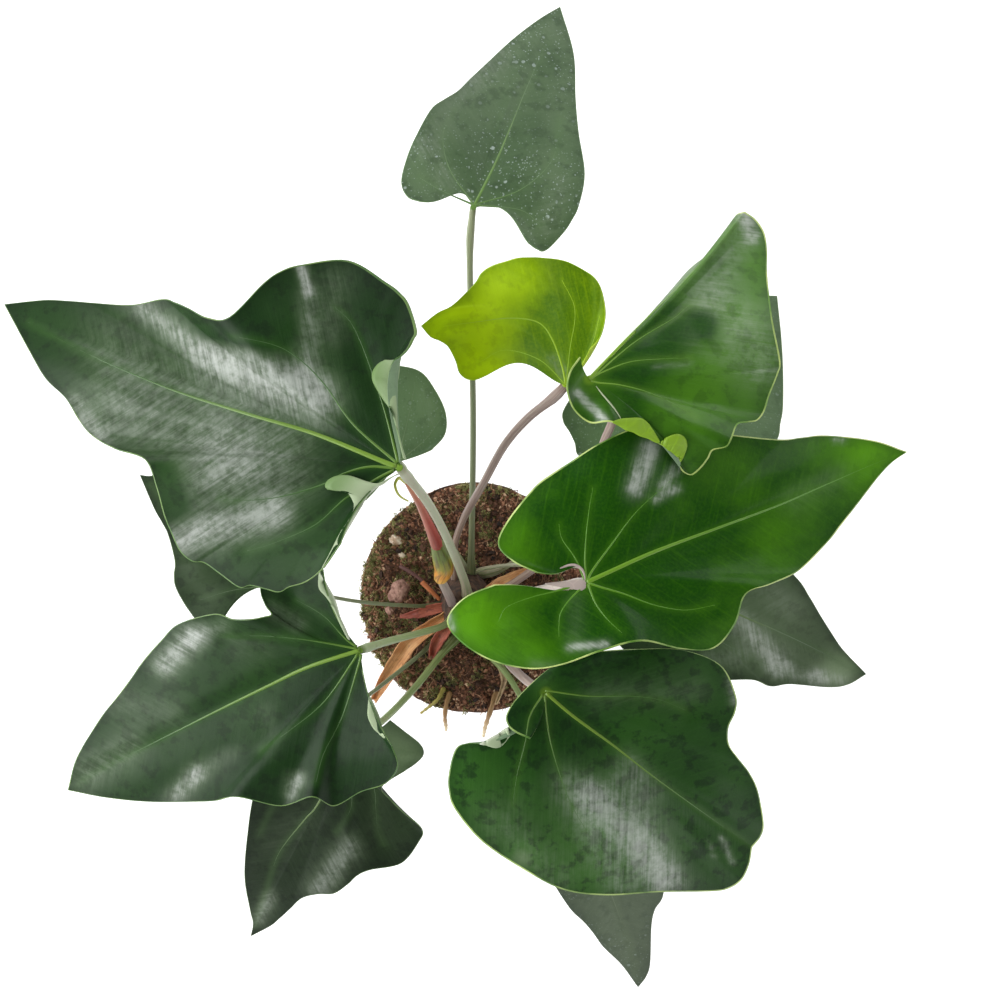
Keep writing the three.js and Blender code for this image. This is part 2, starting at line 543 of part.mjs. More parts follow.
// Dry sheaths round the crown: the route from the crown outwards, the half width at its widest,
// and how far the edges curl up.
const DRY_SHEATHS = [
  { name: 'dry_sheath_long', half: 3.4, cup: 1.4, colour: 0xc88c50, route: [
    [-12, -11, 114], [-22, -21, 112], [-34, -33, 110], [-44, -45, 110], [-52, -57, 103]] },
  { name: 'dry_sheath_tip', half: 2.6, cup: 1, colour: 0x96503c, route: [
    [-13, -6, 113], [-20, -7, 112.5], [-29, -9, 111], [-37, -11, 109]] },
  { name: 'dry_sheath_red', half: 3.2, cup: 1.2, colour: 0x6e2820, route: [
    [-10, -11, 119], [-15, -17, 118.5], [-19, -23, 116.5], [-21, -29, 113.5]] },
  { name: 'dry_sheath_orange', half: 2.8, cup: 1, colour: 0xc37837, route: [
    [4, 2, 119], [12, 7.5, 113.5], [21, 12, 110], [29, 15, 108]] },
  { name: 'dry_sheath_tan', half: 2.2, cup: 0.8, colour: 0xa08058, route: [
    [6, -18, 110], [11, -29, 109], [15, -41, 108], [11, -53, 107]] },
];

function ribbonSheet(points, half, cup) {
  const steps = SHEATH_STEPS;
  const curve = smoothCurve(points.map((p) => place(...p)));
  const columns = [1, 0.5, 0, -0.5, -1];
  const up = new THREE.Vector3(0, 0, 1);
  const vertices = [];
  for (let i = 0; i <= steps; i += 1) {
    const u = i / steps;
    const centre = curve.getPointAt(u);
    const side = up.clone().cross(curve.getTangentAt(u)).normalize();
    const width = half * (0.35 + 0.65 * Math.sin(Math.PI * (0.16 + 0.8 * u)));
    for (const c of columns) {
      const vertex = centre.clone().addScaledVector(side, c * width);
      vertices.push(vertex.addScaledVector(up, (cup * c * c * width) / half));
    }
  }
  const at = (row, column) => row * columns.length + column;
  const faces = [];
  for (let i = 0; i < steps; i += 1) {
    for (let j = 0; j + 1 < columns.length; j += 1) {
      faces.push([at(i, j), at(i, j + 1), at(i + 1, j + 1)]);
      faces.push([at(i, j), at(i + 1, j + 1), at(i + 1, j)]);
    }
  }
  const last = columns.length - 1;
  const rim = [];
  for (let j = 0; j <= last; j += 1) rim.push(at(0, j));
  for (let i = 1; i <= steps; i += 1) rim.push(at(i, last));
  for (let j = last - 1; j >= 0; j -= 1) rim.push(at(steps, j));
  for (let i = steps - 1; i >= 1; i -= 1) rim.push(at(i, 0));
  return { points: vertices, faces, rim };
}

// Rootlets that have grown over the edge of the pot.
const ROOTLETS = [
  { name: 'rootlet_green', radius: 1.1, colour: 0x9a9440, route: [
    [-15, -46, 103], [-18, -52, 106], [-22, -56, 104.5], [-26, -60, 99]] },
  { name: 'rootlet_tan', radius: 0.9, colour: 0xb49a6c, route: [
    [-13, -47, 103], [-15.5, -54, 106], [-16, -60, 102], [-15, -64, 88], [-15, -66, 72]] },
  { name: 'rootlet_cream', radius: 1.2, colour: 0xc8b088, route: [
    [12, -47, 103], [10, -54, 106], [8, -60, 102], [6.5, -65, 88], [6, -69, 68]] },
];

function crownSolid(grow) {
  const radius = CROWN_RADIUS + grow;
  const middle = (CROWN_FOOT + CROWN_TOP) / 2;
  const half = (CROWN_TOP - CROWN_FOOT) / 2 + grow;
  const profile = [];
  for (let i = 0; i <= CROWN_STEPS; i += 1) {
    const angle = (i / CROWN_STEPS) * Math.PI;
    const belly = radius * Math.sqrt(Math.abs(Math.sin(angle)));
    profile.push(new THREE.Vector2(belly, -half * Math.cos(angle)));
  }
  profile[0].x = 0;
  profile[CROWN_STEPS].x = 0;
  const geometry = new THREE.LatheGeometry(profile, CROWN_SIDES);
  geometry.rotateX(Math.PI / 2);
  geometry.scale(1, CROWN_STRETCH, 1);
  geometry.translate(CROWN_X, CROWN_Y, middle);
  return solid(geometry);
}

function ripple(x, y) {
  const broad = Math.sin(x * 0.16 + 1.3) * Math.cos(y * 0.13 - 0.4);
  const close = Math.sin(x * 0.37 - y * 0.29) * Math.cos(x * 0.21 + y * 0.41);
  return 0.9 * broad + 0.7 * close;
}

function potWallRadius(z) {
  return THREE.MathUtils.lerp(POT_BASE_RADIUS, POT_TOP_RADIUS - POT_BAND_STEP, z / POT_HEIGHT);
}

function potGeometry() {
  const bandFoot = POT_HEIGHT - POT_BAND_HEIGHT;
  const profile = [
    [0, 0], [POT_BASE_RADIUS - POT_BASE_ROUNDING, 0], [POT_BASE_RADIUS, POT_BASE_ROUNDING],
    [potWallRadius(bandFoot), bandFoot], [POT_TOP_RADIUS - POT_BAND_ROUNDING, bandFoot + POT_BAND_ROUNDING],
    [POT_TOP_RADIUS, POT_HEIGHT - POT_BAND_ROUNDING], [POT_TOP_RADIUS - POT_BAND_ROUNDING, POT_HEIGHT],
    [potWallRadius(POT_HEIGHT) - POT_WALL, POT_HEIGHT], [POT_BASE_RADIUS - POT_WALL, POT_FLOOR],
    [0, POT_FLOOR],
  ];
  const pot = new THREE.LatheGeometry(profile.map((p) => new THREE.Vector2(...p)), POT_SIDES);
  pot.rotateX(Math.PI / 2);
  let body = solid(pot);
  for (let i = 0; i < DRAIN_HOLES; i += 1) {
    const angle = (i / DRAIN_HOLES) * Math.PI * 2;
    const drill = new THREE.CylinderGeometry(DRAIN_RADIUS, DRAIN_RADIUS, 4 * POT_FLOOR, DRAIN_SIDES);
    drill.rotateX(Math.PI / 2);
    drill.translate(DRAIN_CIRCLE * Math.cos(angle), DRAIN_CIRCLE * Math.sin(angle), 0);
    body = body.subtract(solid(drill));
  }
  return body;
}

// The soil: a plug inside the pot whose mossy top swells over the edge.
function soilSolid() {
  const rings = [];
  const mound = (r, angle) => {
    const x = r * Math.cos(angle);
    const y = r * Math.sin(angle);
    return [x, y, SOIL_LEVEL + SOIL_MOUND + ripple(x, y) - SOIL_FALL * (r / POT_TOP_RADIUS) ** 3];
  };
  for (const r of SOIL_RINGS) rings.push((angle) => mound(r, angle));
  const swell = (angle) => SOIL_SWELL * Math.cos(angle - SOIL_SWELL_SIDE);
  const lobes = (angle) => SOIL_LOBE_SIZE * Math.sin(SOIL_LOBES * angle);
  const edge = (angle) => POT_TOP_RADIUS + SOIL_OVERHANG + swell(angle) + lobes(angle);
  const ring = (radius, z) => (angle) => {
    const r = radius(angle);
    return [r * Math.cos(angle), r * Math.sin(angle), z];
  };
  const inside = (z) => potWallRadius(z) - POT_WALL - 2 * GAP;
  rings.push(ring(edge, SOIL_LEVEL + SOIL_EDGE_HEIGHT));
  rings.push(ring((angle) => edge(angle) - SOIL_EDGE_TUCK, POT_HEIGHT + GAP));
  rings.push(ring(() => inside(POT_HEIGHT), POT_HEIGHT + GAP));
  rings.push(ring(() => inside(POT_FLOOR), POT_FLOOR + GAP));
  const vertices = [new THREE.Vector3(0, 0, SOIL_LEVEL + SOIL_MOUND)];
  for (const point of rings) {
    for (let s = 0; s < SOIL_SIDES; s += 1) {
      vertices.push(new THREE.Vector3(...point((s / SOIL_SIDES) * Math.PI * 2)));
    }
  }
  vertices.push(new THREE.Vector3(0, 0, POT_FLOOR + GAP));
  const at = (r, s) => 1 + r * SOIL_SIDES + (s % SOIL_SIDES);
  const index = [];
  for (let s = 0; s < SOIL_SIDES; s += 1) {
    index.push(0, at(0, s), at(0, s + 1));
    index.push(vertices.length - 1, at(rings.length - 1, s + 1), at(rings.length - 1, s));
    for (let r = 0; r + 1 < rings.length; r += 1) {
      index.push(at(r, s), at(r + 1, s), at(r + 1, s + 1));
      index.push(at(r, s), at(r + 1, s + 1), at(r, s + 1));
    }
  }
  const geometry = new THREE.BufferGeometry();
  geometry.setFromPoints(vertices);
  geometry.setIndex(index);
  return solid(geometry);
}

for (const leaf of LEAVES) {
  addPiece(leaf.name, thicken(bladeSheet(leaf), BLADE_THICKNESS), leaf.colour, leaf.rough);
}

const stalks = STALKS.map(stalkPiece);
for (const { name, body, entry } of stalks) addPiece(name, fromSolid(body), entry.colour, 0.5);

const shoot = shootPieces();
for (const { name, body, colour } of shoot) addPiece(name, fromSolid(body), colour, 0.5);

const rootlets = ROOTLETS.map((entry) => {
  const shape = (grow) => tube(entry.route, entry.radius, entry.radius * 0.6, { sides: 6, steps: 8, grow });
  return { entry, body: shape(0), socket: shape(GAP) };
});
for (const { entry, body } of rootlets) addPiece(entry.name, fromSolid(body), entry.colour, 0.7);

const sockets = [...stalks, ...rootlets, shoot[0]].map((piece) => piece.socket);

let crown = crownSolid(0);
for (const socket of sockets) crown = crown.subtract(socket);
addPiece('crown', fromSolid(crown), 0x5a5038, 0.8);

const fatCrown = crownSolid(GAP);
for (const { name, route, half, cup, colour } of DRY_SHEATHS) {
  let body = solid(thicken(ribbonSheet(route, half, cup), SHEATH_THICKNESS)).subtract(fatCrown);
  for (const socket of sockets) body = body.subtract(socket);
  addPiece(name, fromSolid(body), colour, 0.7);
}

let soil = soilSolid().subtract(fatCrown);
for (const socket of sockets) soil = soil.subtract(socket);
addPiece('soil', fromSolid(soil), 0x3c2a1c, 0.95);
addPiece('pot', fromSolid(potGeometry()), 0x2a2a2a, 0.55);

export default plant;
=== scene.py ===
# The looks of a potted arrow anthurium: leaf blades with their veins and rolled edges, leaf
# stalks, the new shoot, dry sheaths, mossy peat and the nursery pot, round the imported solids.
import math
import random

import bpy
from mathutils import Matrix, Vector, kdtree, noise
from mathutils.bvhtree import BVHTree


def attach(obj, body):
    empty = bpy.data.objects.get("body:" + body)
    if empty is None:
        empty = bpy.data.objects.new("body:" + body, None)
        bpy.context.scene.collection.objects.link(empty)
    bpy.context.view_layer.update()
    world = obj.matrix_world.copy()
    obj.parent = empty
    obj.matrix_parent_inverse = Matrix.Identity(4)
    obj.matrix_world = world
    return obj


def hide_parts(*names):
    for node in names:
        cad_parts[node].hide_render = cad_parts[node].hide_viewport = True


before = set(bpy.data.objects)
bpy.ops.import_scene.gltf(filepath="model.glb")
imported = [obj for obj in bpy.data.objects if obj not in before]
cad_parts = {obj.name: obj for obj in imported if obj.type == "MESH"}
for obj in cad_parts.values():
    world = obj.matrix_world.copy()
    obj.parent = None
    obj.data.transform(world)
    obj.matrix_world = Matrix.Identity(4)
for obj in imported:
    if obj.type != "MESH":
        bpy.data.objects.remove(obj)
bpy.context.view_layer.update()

# Lengths are in millimetres up to the moment a mesh is made.
MM = 0.001
SOIL_LEVEL = 100

# The outlines are laid out as the plant looks from this point, straight above it, at the scale
# of the soil. What stands higher is nearer to that point, so it is drawn in towards it.
EYE = Vector((13, 49, 1300))
LENS = 86.4
SENSOR = 36


# Leaves: outline, posture and veins.

# hub, where the stalk joins, and tip, each with its height. arch: how the fall grows towards
# the tip. vee: the trough along the midrib. droop: the fall of the lobes. rib: the bend of the
# midrib. notch: the bend of the notch's left and right edge; nick and lean shift each bend
# towards the hub or towards the margin. quilt: how far the blade swells between its veins.
# wave: the height of its gentle waves. margin: the width of its pale rim. left and right: the
# margins from the notch round each lobe, every point with its lift. painted_highlights: strokes
# of painted highlight, which pale the colour and thicken the wax coat, from one point to another,
# with their reach and strength. veins: the midrib first. tones: round patches of deeper or
# fresher green, with their reach and strength: partly the leaf's own colour, partly painted shade
# and painted light; the strongest turn a pale green, which in places is a painted sheen.
LEAVES = {
    "01": dict(
        hub=(-37, 65, 330), tip=(-234.8, 146.8, 262), arch=0.7, vee=0.16, droop=0.2, rib=0.02,
        notch=(-0.2, -0.18), lean=(1, 1.5), nick=(1, 0.6), look="dark", slot="leaf_dark",
        quilt=1.5, wave=1.1, margin=0.55,
        left=[(-66.6, 27.2, 9), (-75.6, 14.7, 3), (-84, 8, 0), (-92.5, 5.3, -1.8),
              (-97.5, 2.8, -2.6), (-104, 4.3, -3.1), (-112, 6.2, -3.6), (-117.5, 5.3, -4),
              (-127, 12, -4.6), (-135, 17.6, -4.8), (-141, 18.4, -4.4), (-147, 23.5, -3.4),
              (-151.5, 33, -1), (-155, 41.5, 2), (-159, 56, 7),
              (-164.7, 69.3, 8), (-179.6, 74.7, 2), (-190.9, 81.1, -3), (-197.7, 89.3, -3.5),
              (-204.2, 100, -4), (-213.9, 109.5, -2.5), (-221.4, 121.9, -1)],
        right=[(-38, 120, 5), (-35, 122, 4), (-32, 125.5, 3), (-30, 129.5, 2),
               (-28.5, 134, 0), (-32.3, 146.5, -3), (-36.8, 152.4, -4), (-43.6, 157.6, -5),
               (-62.7, 168.7, -6), (-86, 166.6, -2), (-96.6, 163.4, 1.5), (-105.8, 156.9, 5),
               (-122.2, 140.6, 10), (-133.5, 140.2, 7.5), (-143.8, 145.3, 5), (-150, 147.9, 2.5),
               (-156, 149.5, 0), (-171, 146.6, -4), (-190, 147.5, -6), (-202.4, 148.4, -4.5),
               (-215, 148.9, -3)],
        painted_highlights=[(-127, 120, -80, 103, 11, 0.85), (-84, 110, -72, 96, 8, 0.4),
                (-149, 28, -100, 42, 9.5, 0.85), (-139, 52, -120, 66, 15, 0.42),
                (-87, 167, -82.5, 154, 3, 1.0), (-83, 150, -83, 119, 5.5, 0.45),
                (-70, 158, -72, 132, 9, 0.3), (-166, 146, -137, 124, 6, 0.6),
                (-200, 98, -186, 80, 5, 0.5), (-180, 122, -95, 88, 20, 0.34),
                (-176, 92, -96, 62, 19, 0.46), (-128, 136, -104, 133, 8, -0.9),
                (-157, 58, -150, 48, 9, -0.6)],
        veins=[[(-39, 66), (-45, 68), (-79.5, 82), (-113.5, 92), (-148, 103), (-175.5, 114),
                (-196, 123.5), (-209.5, 130.5), (-223, 138)],
               [(-38.5, 67.5), (-60, 86.5), (-75, 107), (-87.5, 119.5), (-100, 126.5),
                (-120.5, 131)],
               [(-38, 68), (-45, 95), (-54.5, 122.5), (-61.5, 137.5), (-69.5, 145.5)],
               [(-40, 65), (-53, 65.5), (-65.5, 62), (-75, 57), (-93, 51.5), (-109.5, 49),
                (-127.5, 49.5)],
               [(-40, 64), (-49.5, 59), (-64.5, 49.5), (-79.5, 36.5), (-100, 27.5),
                (-113.5, 23.5)]],
        tones=[(-75, 155, 30, -0.3), (-43, 140, 24, -0.9), (-90, 15, 26, 0.4),
               (-119, 134, 14, -0.8), (-52, 72, 30, -0.6), (-140, 110, 30, 0.3),
               (-156, 56, 14, 0.7)]),
    "02": dict(
        hub=(-57, -26, 290), tip=(-203, -96, 222), arch=0.7, vee=0.16, droop=0.2, rib=0.03,
        notch=(-0.13, -0.17), look="dark", slot="leaf_dark", quilt=1.4, wave=1.0, margin=0.5,
        left=[(-41, -74, 9), (-38, -84, 5), (-44.1, -92.8, 1), (-56.5, -97, -3), (-70, -104, -5),
              (-81, -99.5, 3), (-96.5, -104, -4), (-118, -99.5, 4), (-129.9, -101.5, 0.5),
              (-142, -101.9, -3), (-163, -101.8, -4), (-184, -99.7, -2)],
        right=[(-75.4, 13.8, 8), (-80, 26, 4), (-91, 34, 0), (-104, 26, -4), (-107, 6, 0),
               (-104.7, -2.8, 2), (-101.4, -7.9, 4), (-105.4, -9.4, 5), (-112, -10.6, 6),
               (-120.9, -10.6, 4), (-130, -8, 2), (-147.6, -12.9, -3), (-156.3, -21.2, -3.5),
               (-164.9, -30.9, -4), (-171.6, -40.5, -3.5), (-178.4, -49.5, -3),
               (-185.4, -58.2, -2.5), (-191.3, -67.2, -2), (-196.3, -75.5, -1), (-199.9, -83.4, 0)],
        painted_highlights=[(-154, -33, -141, -20, 7, 0.85), (-141, -21, -126, -14, 5, 0.4),
                (-176, -52, -152, -58, 9, 0.24), (-194, -88, -172, -74, 9, 0.4),
                (-149, -99, -139, -88, 5, 0.7), (-139, -88, -109, -70, 5.5, 0.25),
                (-105, -58, -93.5, -90, 6, 0.3), (-91, -98, -87, -90, 4, 0.6),
                (-100, -6, -88, -13, 5, 0.4), (-116, -24, -106, -26, 8, 0.15),
                (-57, -38, -54, -80, 12, -1.4), (-112, -66, -98, -80, 12, -0.35)],
        veins=[[(-57, -26), (-58.5, -26.5), (-83, -34.5), (-103, -44), (-123.5, -54),
                (-143.5, -64), (-163.5, -74), (-183.5, -84), (-197, -92)],
               [(-58, -25.5), (-63, -24.5), (-83, -21), (-103, -19), (-123.5, -19)],
               [(-58.5, -24.5), (-64.5, -20), (-75, -9), (-88.5, -1)],
               [(-58, -27.5), (-61, -32.5), (-75, -52), (-92.5, -66.5), (-106, -76)],
               [(-56.5, -28), (-57.5, -33), (-65.5, -58.5), (-75, -77.5), (-79, -92)]],
        tones=[(-53, -68, 32, -1.9), (-95, 20, 18, -0.4), (-117, -86, 14, -0.6),
               (-62, -91, 16, -0.4), (-137, -16, 10, -0.3), (-110, -50, 20, 0.4)]),
    "03": dict(
        hub=(-62, -72, 226), tip=(-111.5, -169, 150), arch=0.7, vee=0.12, droop=0.2, rib=0,
        notch=(-0.14, 0), look="old", slot="leaf_old", quilt=1.2, wave=0.8, margin=0.35,
        left=[(-42, -61, 2), (-34.6, -66.8, 1), (-26.9, -73, -2), (-25.1, -77.9, -2),
              (-28.5, -82.3, -2), (-34, -86.2, 0), (-46, -94.5, 3), (-41.5, -101, 4),
              (-35, -107.5, 2), (-28.5, -112.7, 0), (-25.6, -116.6, -1.5), (-26.8, -120.7, -3),
              (-36.1, -132.4, -4), (-52, -135.9, 1), (-58.6, -138.9, 2.5), (-63.3, -143.3, 4),
              (-70, -147.7, 3), (-78, -148, 2), (-85.9, -150, 0.5), (-91.8, -155.3, -1),
              (-96.7, -159.7, -1), (-101.5, -163.7, -1)],
        right=[(-58, -58, 2), (-74, -57, -2), (-90, -66, -3), (-102, -82, 1), (-110, -98, 3),
               (-113.3, -118, 0), (-114.7, -139, -3), (-111.9, -155.9, -2), (-110.4, -162.6, -1)],
        painted_highlights=[(-77, -145, -63, -125, 7, 0.65), (-107, -160, -102, -150, 4, 0.6),
                (-100, -122, -84, -108, 9, 0.15), (-50, -115, -46, -100, 7, 0.1)],
        veins=[[(-62, -72), (-70, -86), (-78, -103), (-85, -111), (-97, -126.5), (-102, -140),
                (-105, -149.5), (-109.5, -163)],
               [(-62, -72), (-56, -84), (-50, -94.5), (-49, -106.5), (-48, -116), (-45, -123)],
               [(-62, -72), (-62, -88), (-61, -100.5), (-62.5, -107.5), (-68.5, -117)],
               [(-62, -72), (-84, -84), (-98, -100), (-107, -117)]],
        tones=[(-36, -78, 14, 5.0), (-40, -64, 12, 3.0), (-88, -118, 36, -0.8)]),
    "04": dict(
        hub=(-0.5, 195, 262), tip=(43, 295.5, 205), arch=0.6, vee=0.14, droop=0.25, rib=0.08,
        notch=(-1.16, -0.6), nick=(3, 1.5), look="limed", slot="leaf_grey", quilt=1.0,
        wave=0.8, margin=0.3,
        left=[(-27.1, 198.3, 2), (-33.3, 200.7, 0), (-36.4, 208, -3), (-33.4, 220.6, -2),
              (-28.4, 232.2, 2), (-21.5, 244.4, 4), (-15.3, 249.1, 2.5), (-8.3, 253.4, 1),
              (-2.1, 259.5, -0.5), (4.7, 265.8, -2), (19, 279, -3), (32.7, 289.4, -1)],
        right=[(27.6, 177.2, 1), (31.5, 174.5, -1.5), (36.1, 173.8, -4), (44.7, 182.5, -2),
               (49, 188.9, 0), (52.5, 196.3, 2), (55.4, 212, 4), (52.4, 232.4, 1),
               (50.8, 250, -3), (49.8, 272, -3)],
        painted_highlights=[(-22, 225, -14, 210, 9, 0.5), (43, 205, 36, 185, 9, 0.5),
                (0, 262, 40, 285, 12, 0.3), (-30, 226, 12, 270, 8, 0.3)],
        tones=[(10, 218, 20, -0.6), (34, 275, 16, -0.4)],
        veins=[[(0, 196.5), (1, 198), (11, 218), (19.5, 238.5), (24.5, 251), (29.5, 262.5),
                (37, 280)],
               [(0, 196.5), (-12, 214), (-15.5, 231.5), (-9.5, 245)],
               [(0, 196.5), (-17, 204), (-27, 210)],
               [(0, 196.5), (23, 204), (39, 219), (43, 239)],
               [(0, 196.5), (23, 194), (33, 186.5)]]),
    "05": dict(
        hub=(46, 106.5, 300), tip=(-26.5, 136, 288), arch=0.6, vee=0.3, droop=0.1, rib=-0.5,
        notch=(-1.66, 0.1), lean=(2, 1), nick=(2, 1), look="young", slot="leaf_young",
        quilt=0.5, wave=0.5, margin=0.4,
        left=[(-1, 109, -10), (-4.5, 110, -10), (-7.5, 113, -9), (-9, 118, -7),
              (-11.1, 122.5, -5), (-13.4, 126.1, -3.5), (-17, 128.5, -2), (-21.9, 130.6, -1)],
        right=[(57.8, 124.4, 4), (61.8, 128.7, 4), (64.3, 133.8, 4), (65.7, 143, 2),
               (64, 153.2, 0), (61.3, 159, -0.5), (56.2, 163.3, -1), (45.5, 168.6, 0),
               (34, 170.2, 2), (28, 170.4, 3), (21.8, 170.1, 4), (15.6, 168.3, 4),
               (9.3, 166.3, 4), (3.8, 162.8, 3), (0, 157, 2), (-10.5, 146.7, 0), (-18.6, 142.3, 0)],
        painted_highlights=[(40.5, 119, 48, 106.5, 4, 0.7), (37, 169, 43, 149, 6, 0.2)],
        tones=[(-10, 126, 22, 1.35), (44, 120, 16, -1.4), (10, 160, 22, 0.3),
               (42, 150, 22, -0.5)],
        veins=[[(46, 106.5), (44, 116.5), (39, 130), (32, 138), (18, 140), (0.5, 138),
                (-14.5, 136)],
               [(46, 106.5), (48, 124), (50.5, 144), (44, 159)],
               [(46, 106.5), (58, 124), (63, 141.5)],
               [(46, 106.5), (33, 119), (15.5, 124), (3, 118)]]),
    "06": dict(
        hub=(57.5, 109.5, 345), tip=(135.5, 193, 300), arch=0.65, vee=0.05, droop=0.1,
        rib=-0.055, notch=(0, -0.15), look="wet", slot="leaf_wet", quilt=1.3, wave=1.0, margin=0.8,
        left=[(61, 112, -10), (70.5, 119.5, -22), (79, 128, -30), (87.5, 136.5, -33),
              (95, 146, -35), (100, 154.5, -36), (105.5, 162, -34), (111.5, 167.5, -31),
              (118, 172, -28), (122, 175.5, -24), (125.2, 180, -19), (127.5, 184, -14),
              (129.2, 188, -9), (131.5, 191.7, -5)],
        right=[(53, 120.5, 9), (48, 113, 8), (46.5, 104, 4), (50, 94, 0), (58, 87.5, -2),
               (68, 88, 2), (76, 84.2, 1), (84, 81, 0), (92, 77.3, -1), (97.5, 74, -2),
               (102.8, 69.2, -4), (103.2, 65.5, -5), (105.5, 62.5, -7), (109, 61.5, -8),
               (113, 64.5, -5), (117, 69.5, -3), (119.7, 74, -1), (126.4, 75.7, 3),
               (129, 80, 3.5), (131.9, 86.8, 1), (137.5, 88, -1), (142, 89, -2.5),
               (145.2, 93.5, -4), (147.5, 101, -3), (152, 112.4, 0), (153, 119, 2),
               (149, 140, 4), (146.5, 162, 0), (146.5, 173, -2), (145.1, 182.4, -4),
               (140.7, 189.2, -5)],
        painted_highlights=[(135.5, 190, 139, 181, 4, 1.2), (133, 176, 114, 150, 10, 0.42),
                (128, 142, 148, 122, 13, 0.5), (112, 128, 140, 110, 10, 0.3),
                (90, 115.5, 108, 117, 1.4, 0.4), (51.5, 102.5, 65.5, 89, 2.5, 1.3),
                (115, 137, 118, 133, 5, -0.6)],
        veins=[[(57.5, 109.5), (78, 131), (103, 156), (120.5, 175), (134, 191)],
               [(58, 109), (79, 127), (100, 140), (108, 146.5), (118, 147), (126, 144)],
               [(58, 109.5), (64.5, 113), (78, 118), (94, 119.5), (108, 120)],
               [(58.5, 108.5), (63, 107.5), (73, 106.5), (86.5, 103), (100, 97),
                (110.5, 90.5)]],
        tones=[(134, 128, 28, 1.0), (106, 88, 22, 0.5), (138, 172, 20, 0.5),
               (115, 137, 7, -1.6), (92, 134, 22, -0.8), (80, 108, 14, -0.5),
               (110, 150, 14, 0.4)]),
    "07": dict(
        hub=(56.5, 8, 345), tip=(216.5, 73, 290), arch=0.7, vee=0.1, droop=0.16, rib=0.03,
        notch=(-1.6, -0.4), nick=(4, 3), look="bright", slot="leaf_bright", quilt=1.1,
        wave=0.9, margin=0.8,
        left=[(31, 13, 5), (19.5, 18.5, 1), (12, 27, -3), (17, 39, -6), (30.2, 55.3, -6),
              (38.8, 62, -4.5), (47.6, 67.6, -3), (63, 77.5, 2), (84, 86, 4), (108, 85, 2),
              (130, 81.5, -3), (153, 79.2, -4), (164.4, 80.2, -3), (176, 81.2, -2), (200, 78.6, 0)],
        right=[(10, 6.5, 2), (-5, 0, -1), (-13.5, -11, -5), (-7, -21.5, -6), (8, -31, -6),
               (27.5, -35.5, -3), (44, -33.5, 0), (64, -26.5, 4), (84, -21.5, 5),
               (104, -25.5, -2), (120, -25, -5), (130.5, -13, -3), (136, 2, 3), (148.5, 7, 4),
               (162.7, 13.9, 0), (176.4, 27.6, -3), (183, 35.9, -2.5), (189.7, 44.5, -2),
               (196.2, 53, -1), (202.6, 61.2, 0), (209.1, 67.9, 0)],
        painted_highlights=[(88, 75, 80.5, 55, 5, 1.3), (102, 66.5, 94, 56, 3, 0.9),
                (90.5, 49, 102, 55, 2.5, 0.8), (48, -25, 66, -23, 2.4, 0.9),
                (30, -33, 40, -34, 3, 0.3),
                (-13.5, -6, -11, -15, 2.5, 0.8), (160.5, 49, 180, 60, 8, 0.2),
                (180.5, 79, 184, 79, 2, 0.7), (50.5, -1, 50.5, -21, 5, 0.2)],
        veins=[[(56.5, 8), (90, 23), (120.5, 34.5), (151.5, 46), (174.5, 56), (197.5, 66),
                (210.5, 71)],
               [(56.5, 8), (59, 13.5), (68.5, 26.5), (81, 43), (98, 58.5)],
               [(56, 8), (55.5, 21.5), (57, 40), (59.5, 55.5)],
               [(56, 8), (50.5, 20), (44, 29.5), (42.5, 37)],
               [(57, 7.5), (63, 5.5), (75, 2), (90, -3.5), (105.5, -6), (120.5, -3.5)],
               [(57, 7), (61, -3), (67, -11), (74, -17.5)],
               [(56, 7), (49, 0.5), (43.5, -7), (42.5, -13.5), (42.5, -19.5)],
               [(55.5, 7.5), (41, 3.5), (29, 0.5), (16.5, -4.5), (12, -12)]],
        tones=[(16, 28, 18, 0.35), (0, -12, 20, 0.95), (30, -24, 18, 0.4),
               (125, -15, 18, 0.2), (196, 76, 16, 0.9), (78, 30, 42, -0.55), (60, 60, 24, -0.3),
               (40, -12, 18, -0.5), (64, 8, 20, -0.5), (110, -8, 24, -0.3)]),
    "08": dict(
        hub=(36, -47.5, 330), tip=(139, -124.5, 284), arch=0.7, vee=0.14, droop=0.25, rib=-0.03,
        notch=(0.14, -0.34), look="mottled", slot="leaf_mottled", quilt=1.3, wave=1.0,
        margin=0.7,
        left=[(28, -70.5, 5), (20.5, -67, 3), (16.8, -63.3, 1.5), (16.4, -57.9, 0),
              (22.5, -49, -2), (35.5, -37, -3), (48.5, -29, -2), (64.5, -26.5, 0),
              (84, -25.5, -3), (104, -26, -6), (123, -33.5, -6), (130.6, -48.1, -2),
              (130.6, -56.7, 1), (127.1, -65, 4), (127.5, -73.3, 3.5), (132.3, -80.4, 3),
              (137.8, -87.6, 0.5), (141.7, -95.9, -2), (144.7, -112.1, -3), (143.2, -119.1, -1.5)],
        right=[(26.5, -66, -5), (17.5, -64.7, -5), (10.5, -69, -4), (3.7, -72.6, 0), (-3, -72.7, -1),
               (-9.3, -75.6, -2), (-12.6, -88, -4), (-12.5, -96.2, -4.5), (-9.7, -105.1, -5),
               (3.2, -120.8, -4), (22.2, -134, -2), (44, -145.5, 0), (66, -148.5, 2),
               (92, -147, 2), (118.1, -146.6, -2), (127.2, -145.1, -3), (133.7, -140.7, -4),
               (137.4, -133.1, -2)],
        painted_highlights=[(60, -98, 94, -140, 8, 0.85), (48, -95, 74, -143, 12, 0.55),
                (14, -112, 40, -140, 14, 0.34), (76, -90, 98, -142, 10, 0.5),
                (78, -80, 90, -96, 6, 0.25), (124, -120, 129, -132, 1.6, 0.8),
                (118, -122, 120, -130, 1.2, 0.6), (128.5, -41, 130.5, -52, 3, 0.7),
                (62, -48, 110, -46, 9, 0.25)],
        veins=[[(36, -47.5), (49.5, -59), (70, -74), (88.5, -88.5), (107, -102),
                (128.5, -117), (138, -123.5)],
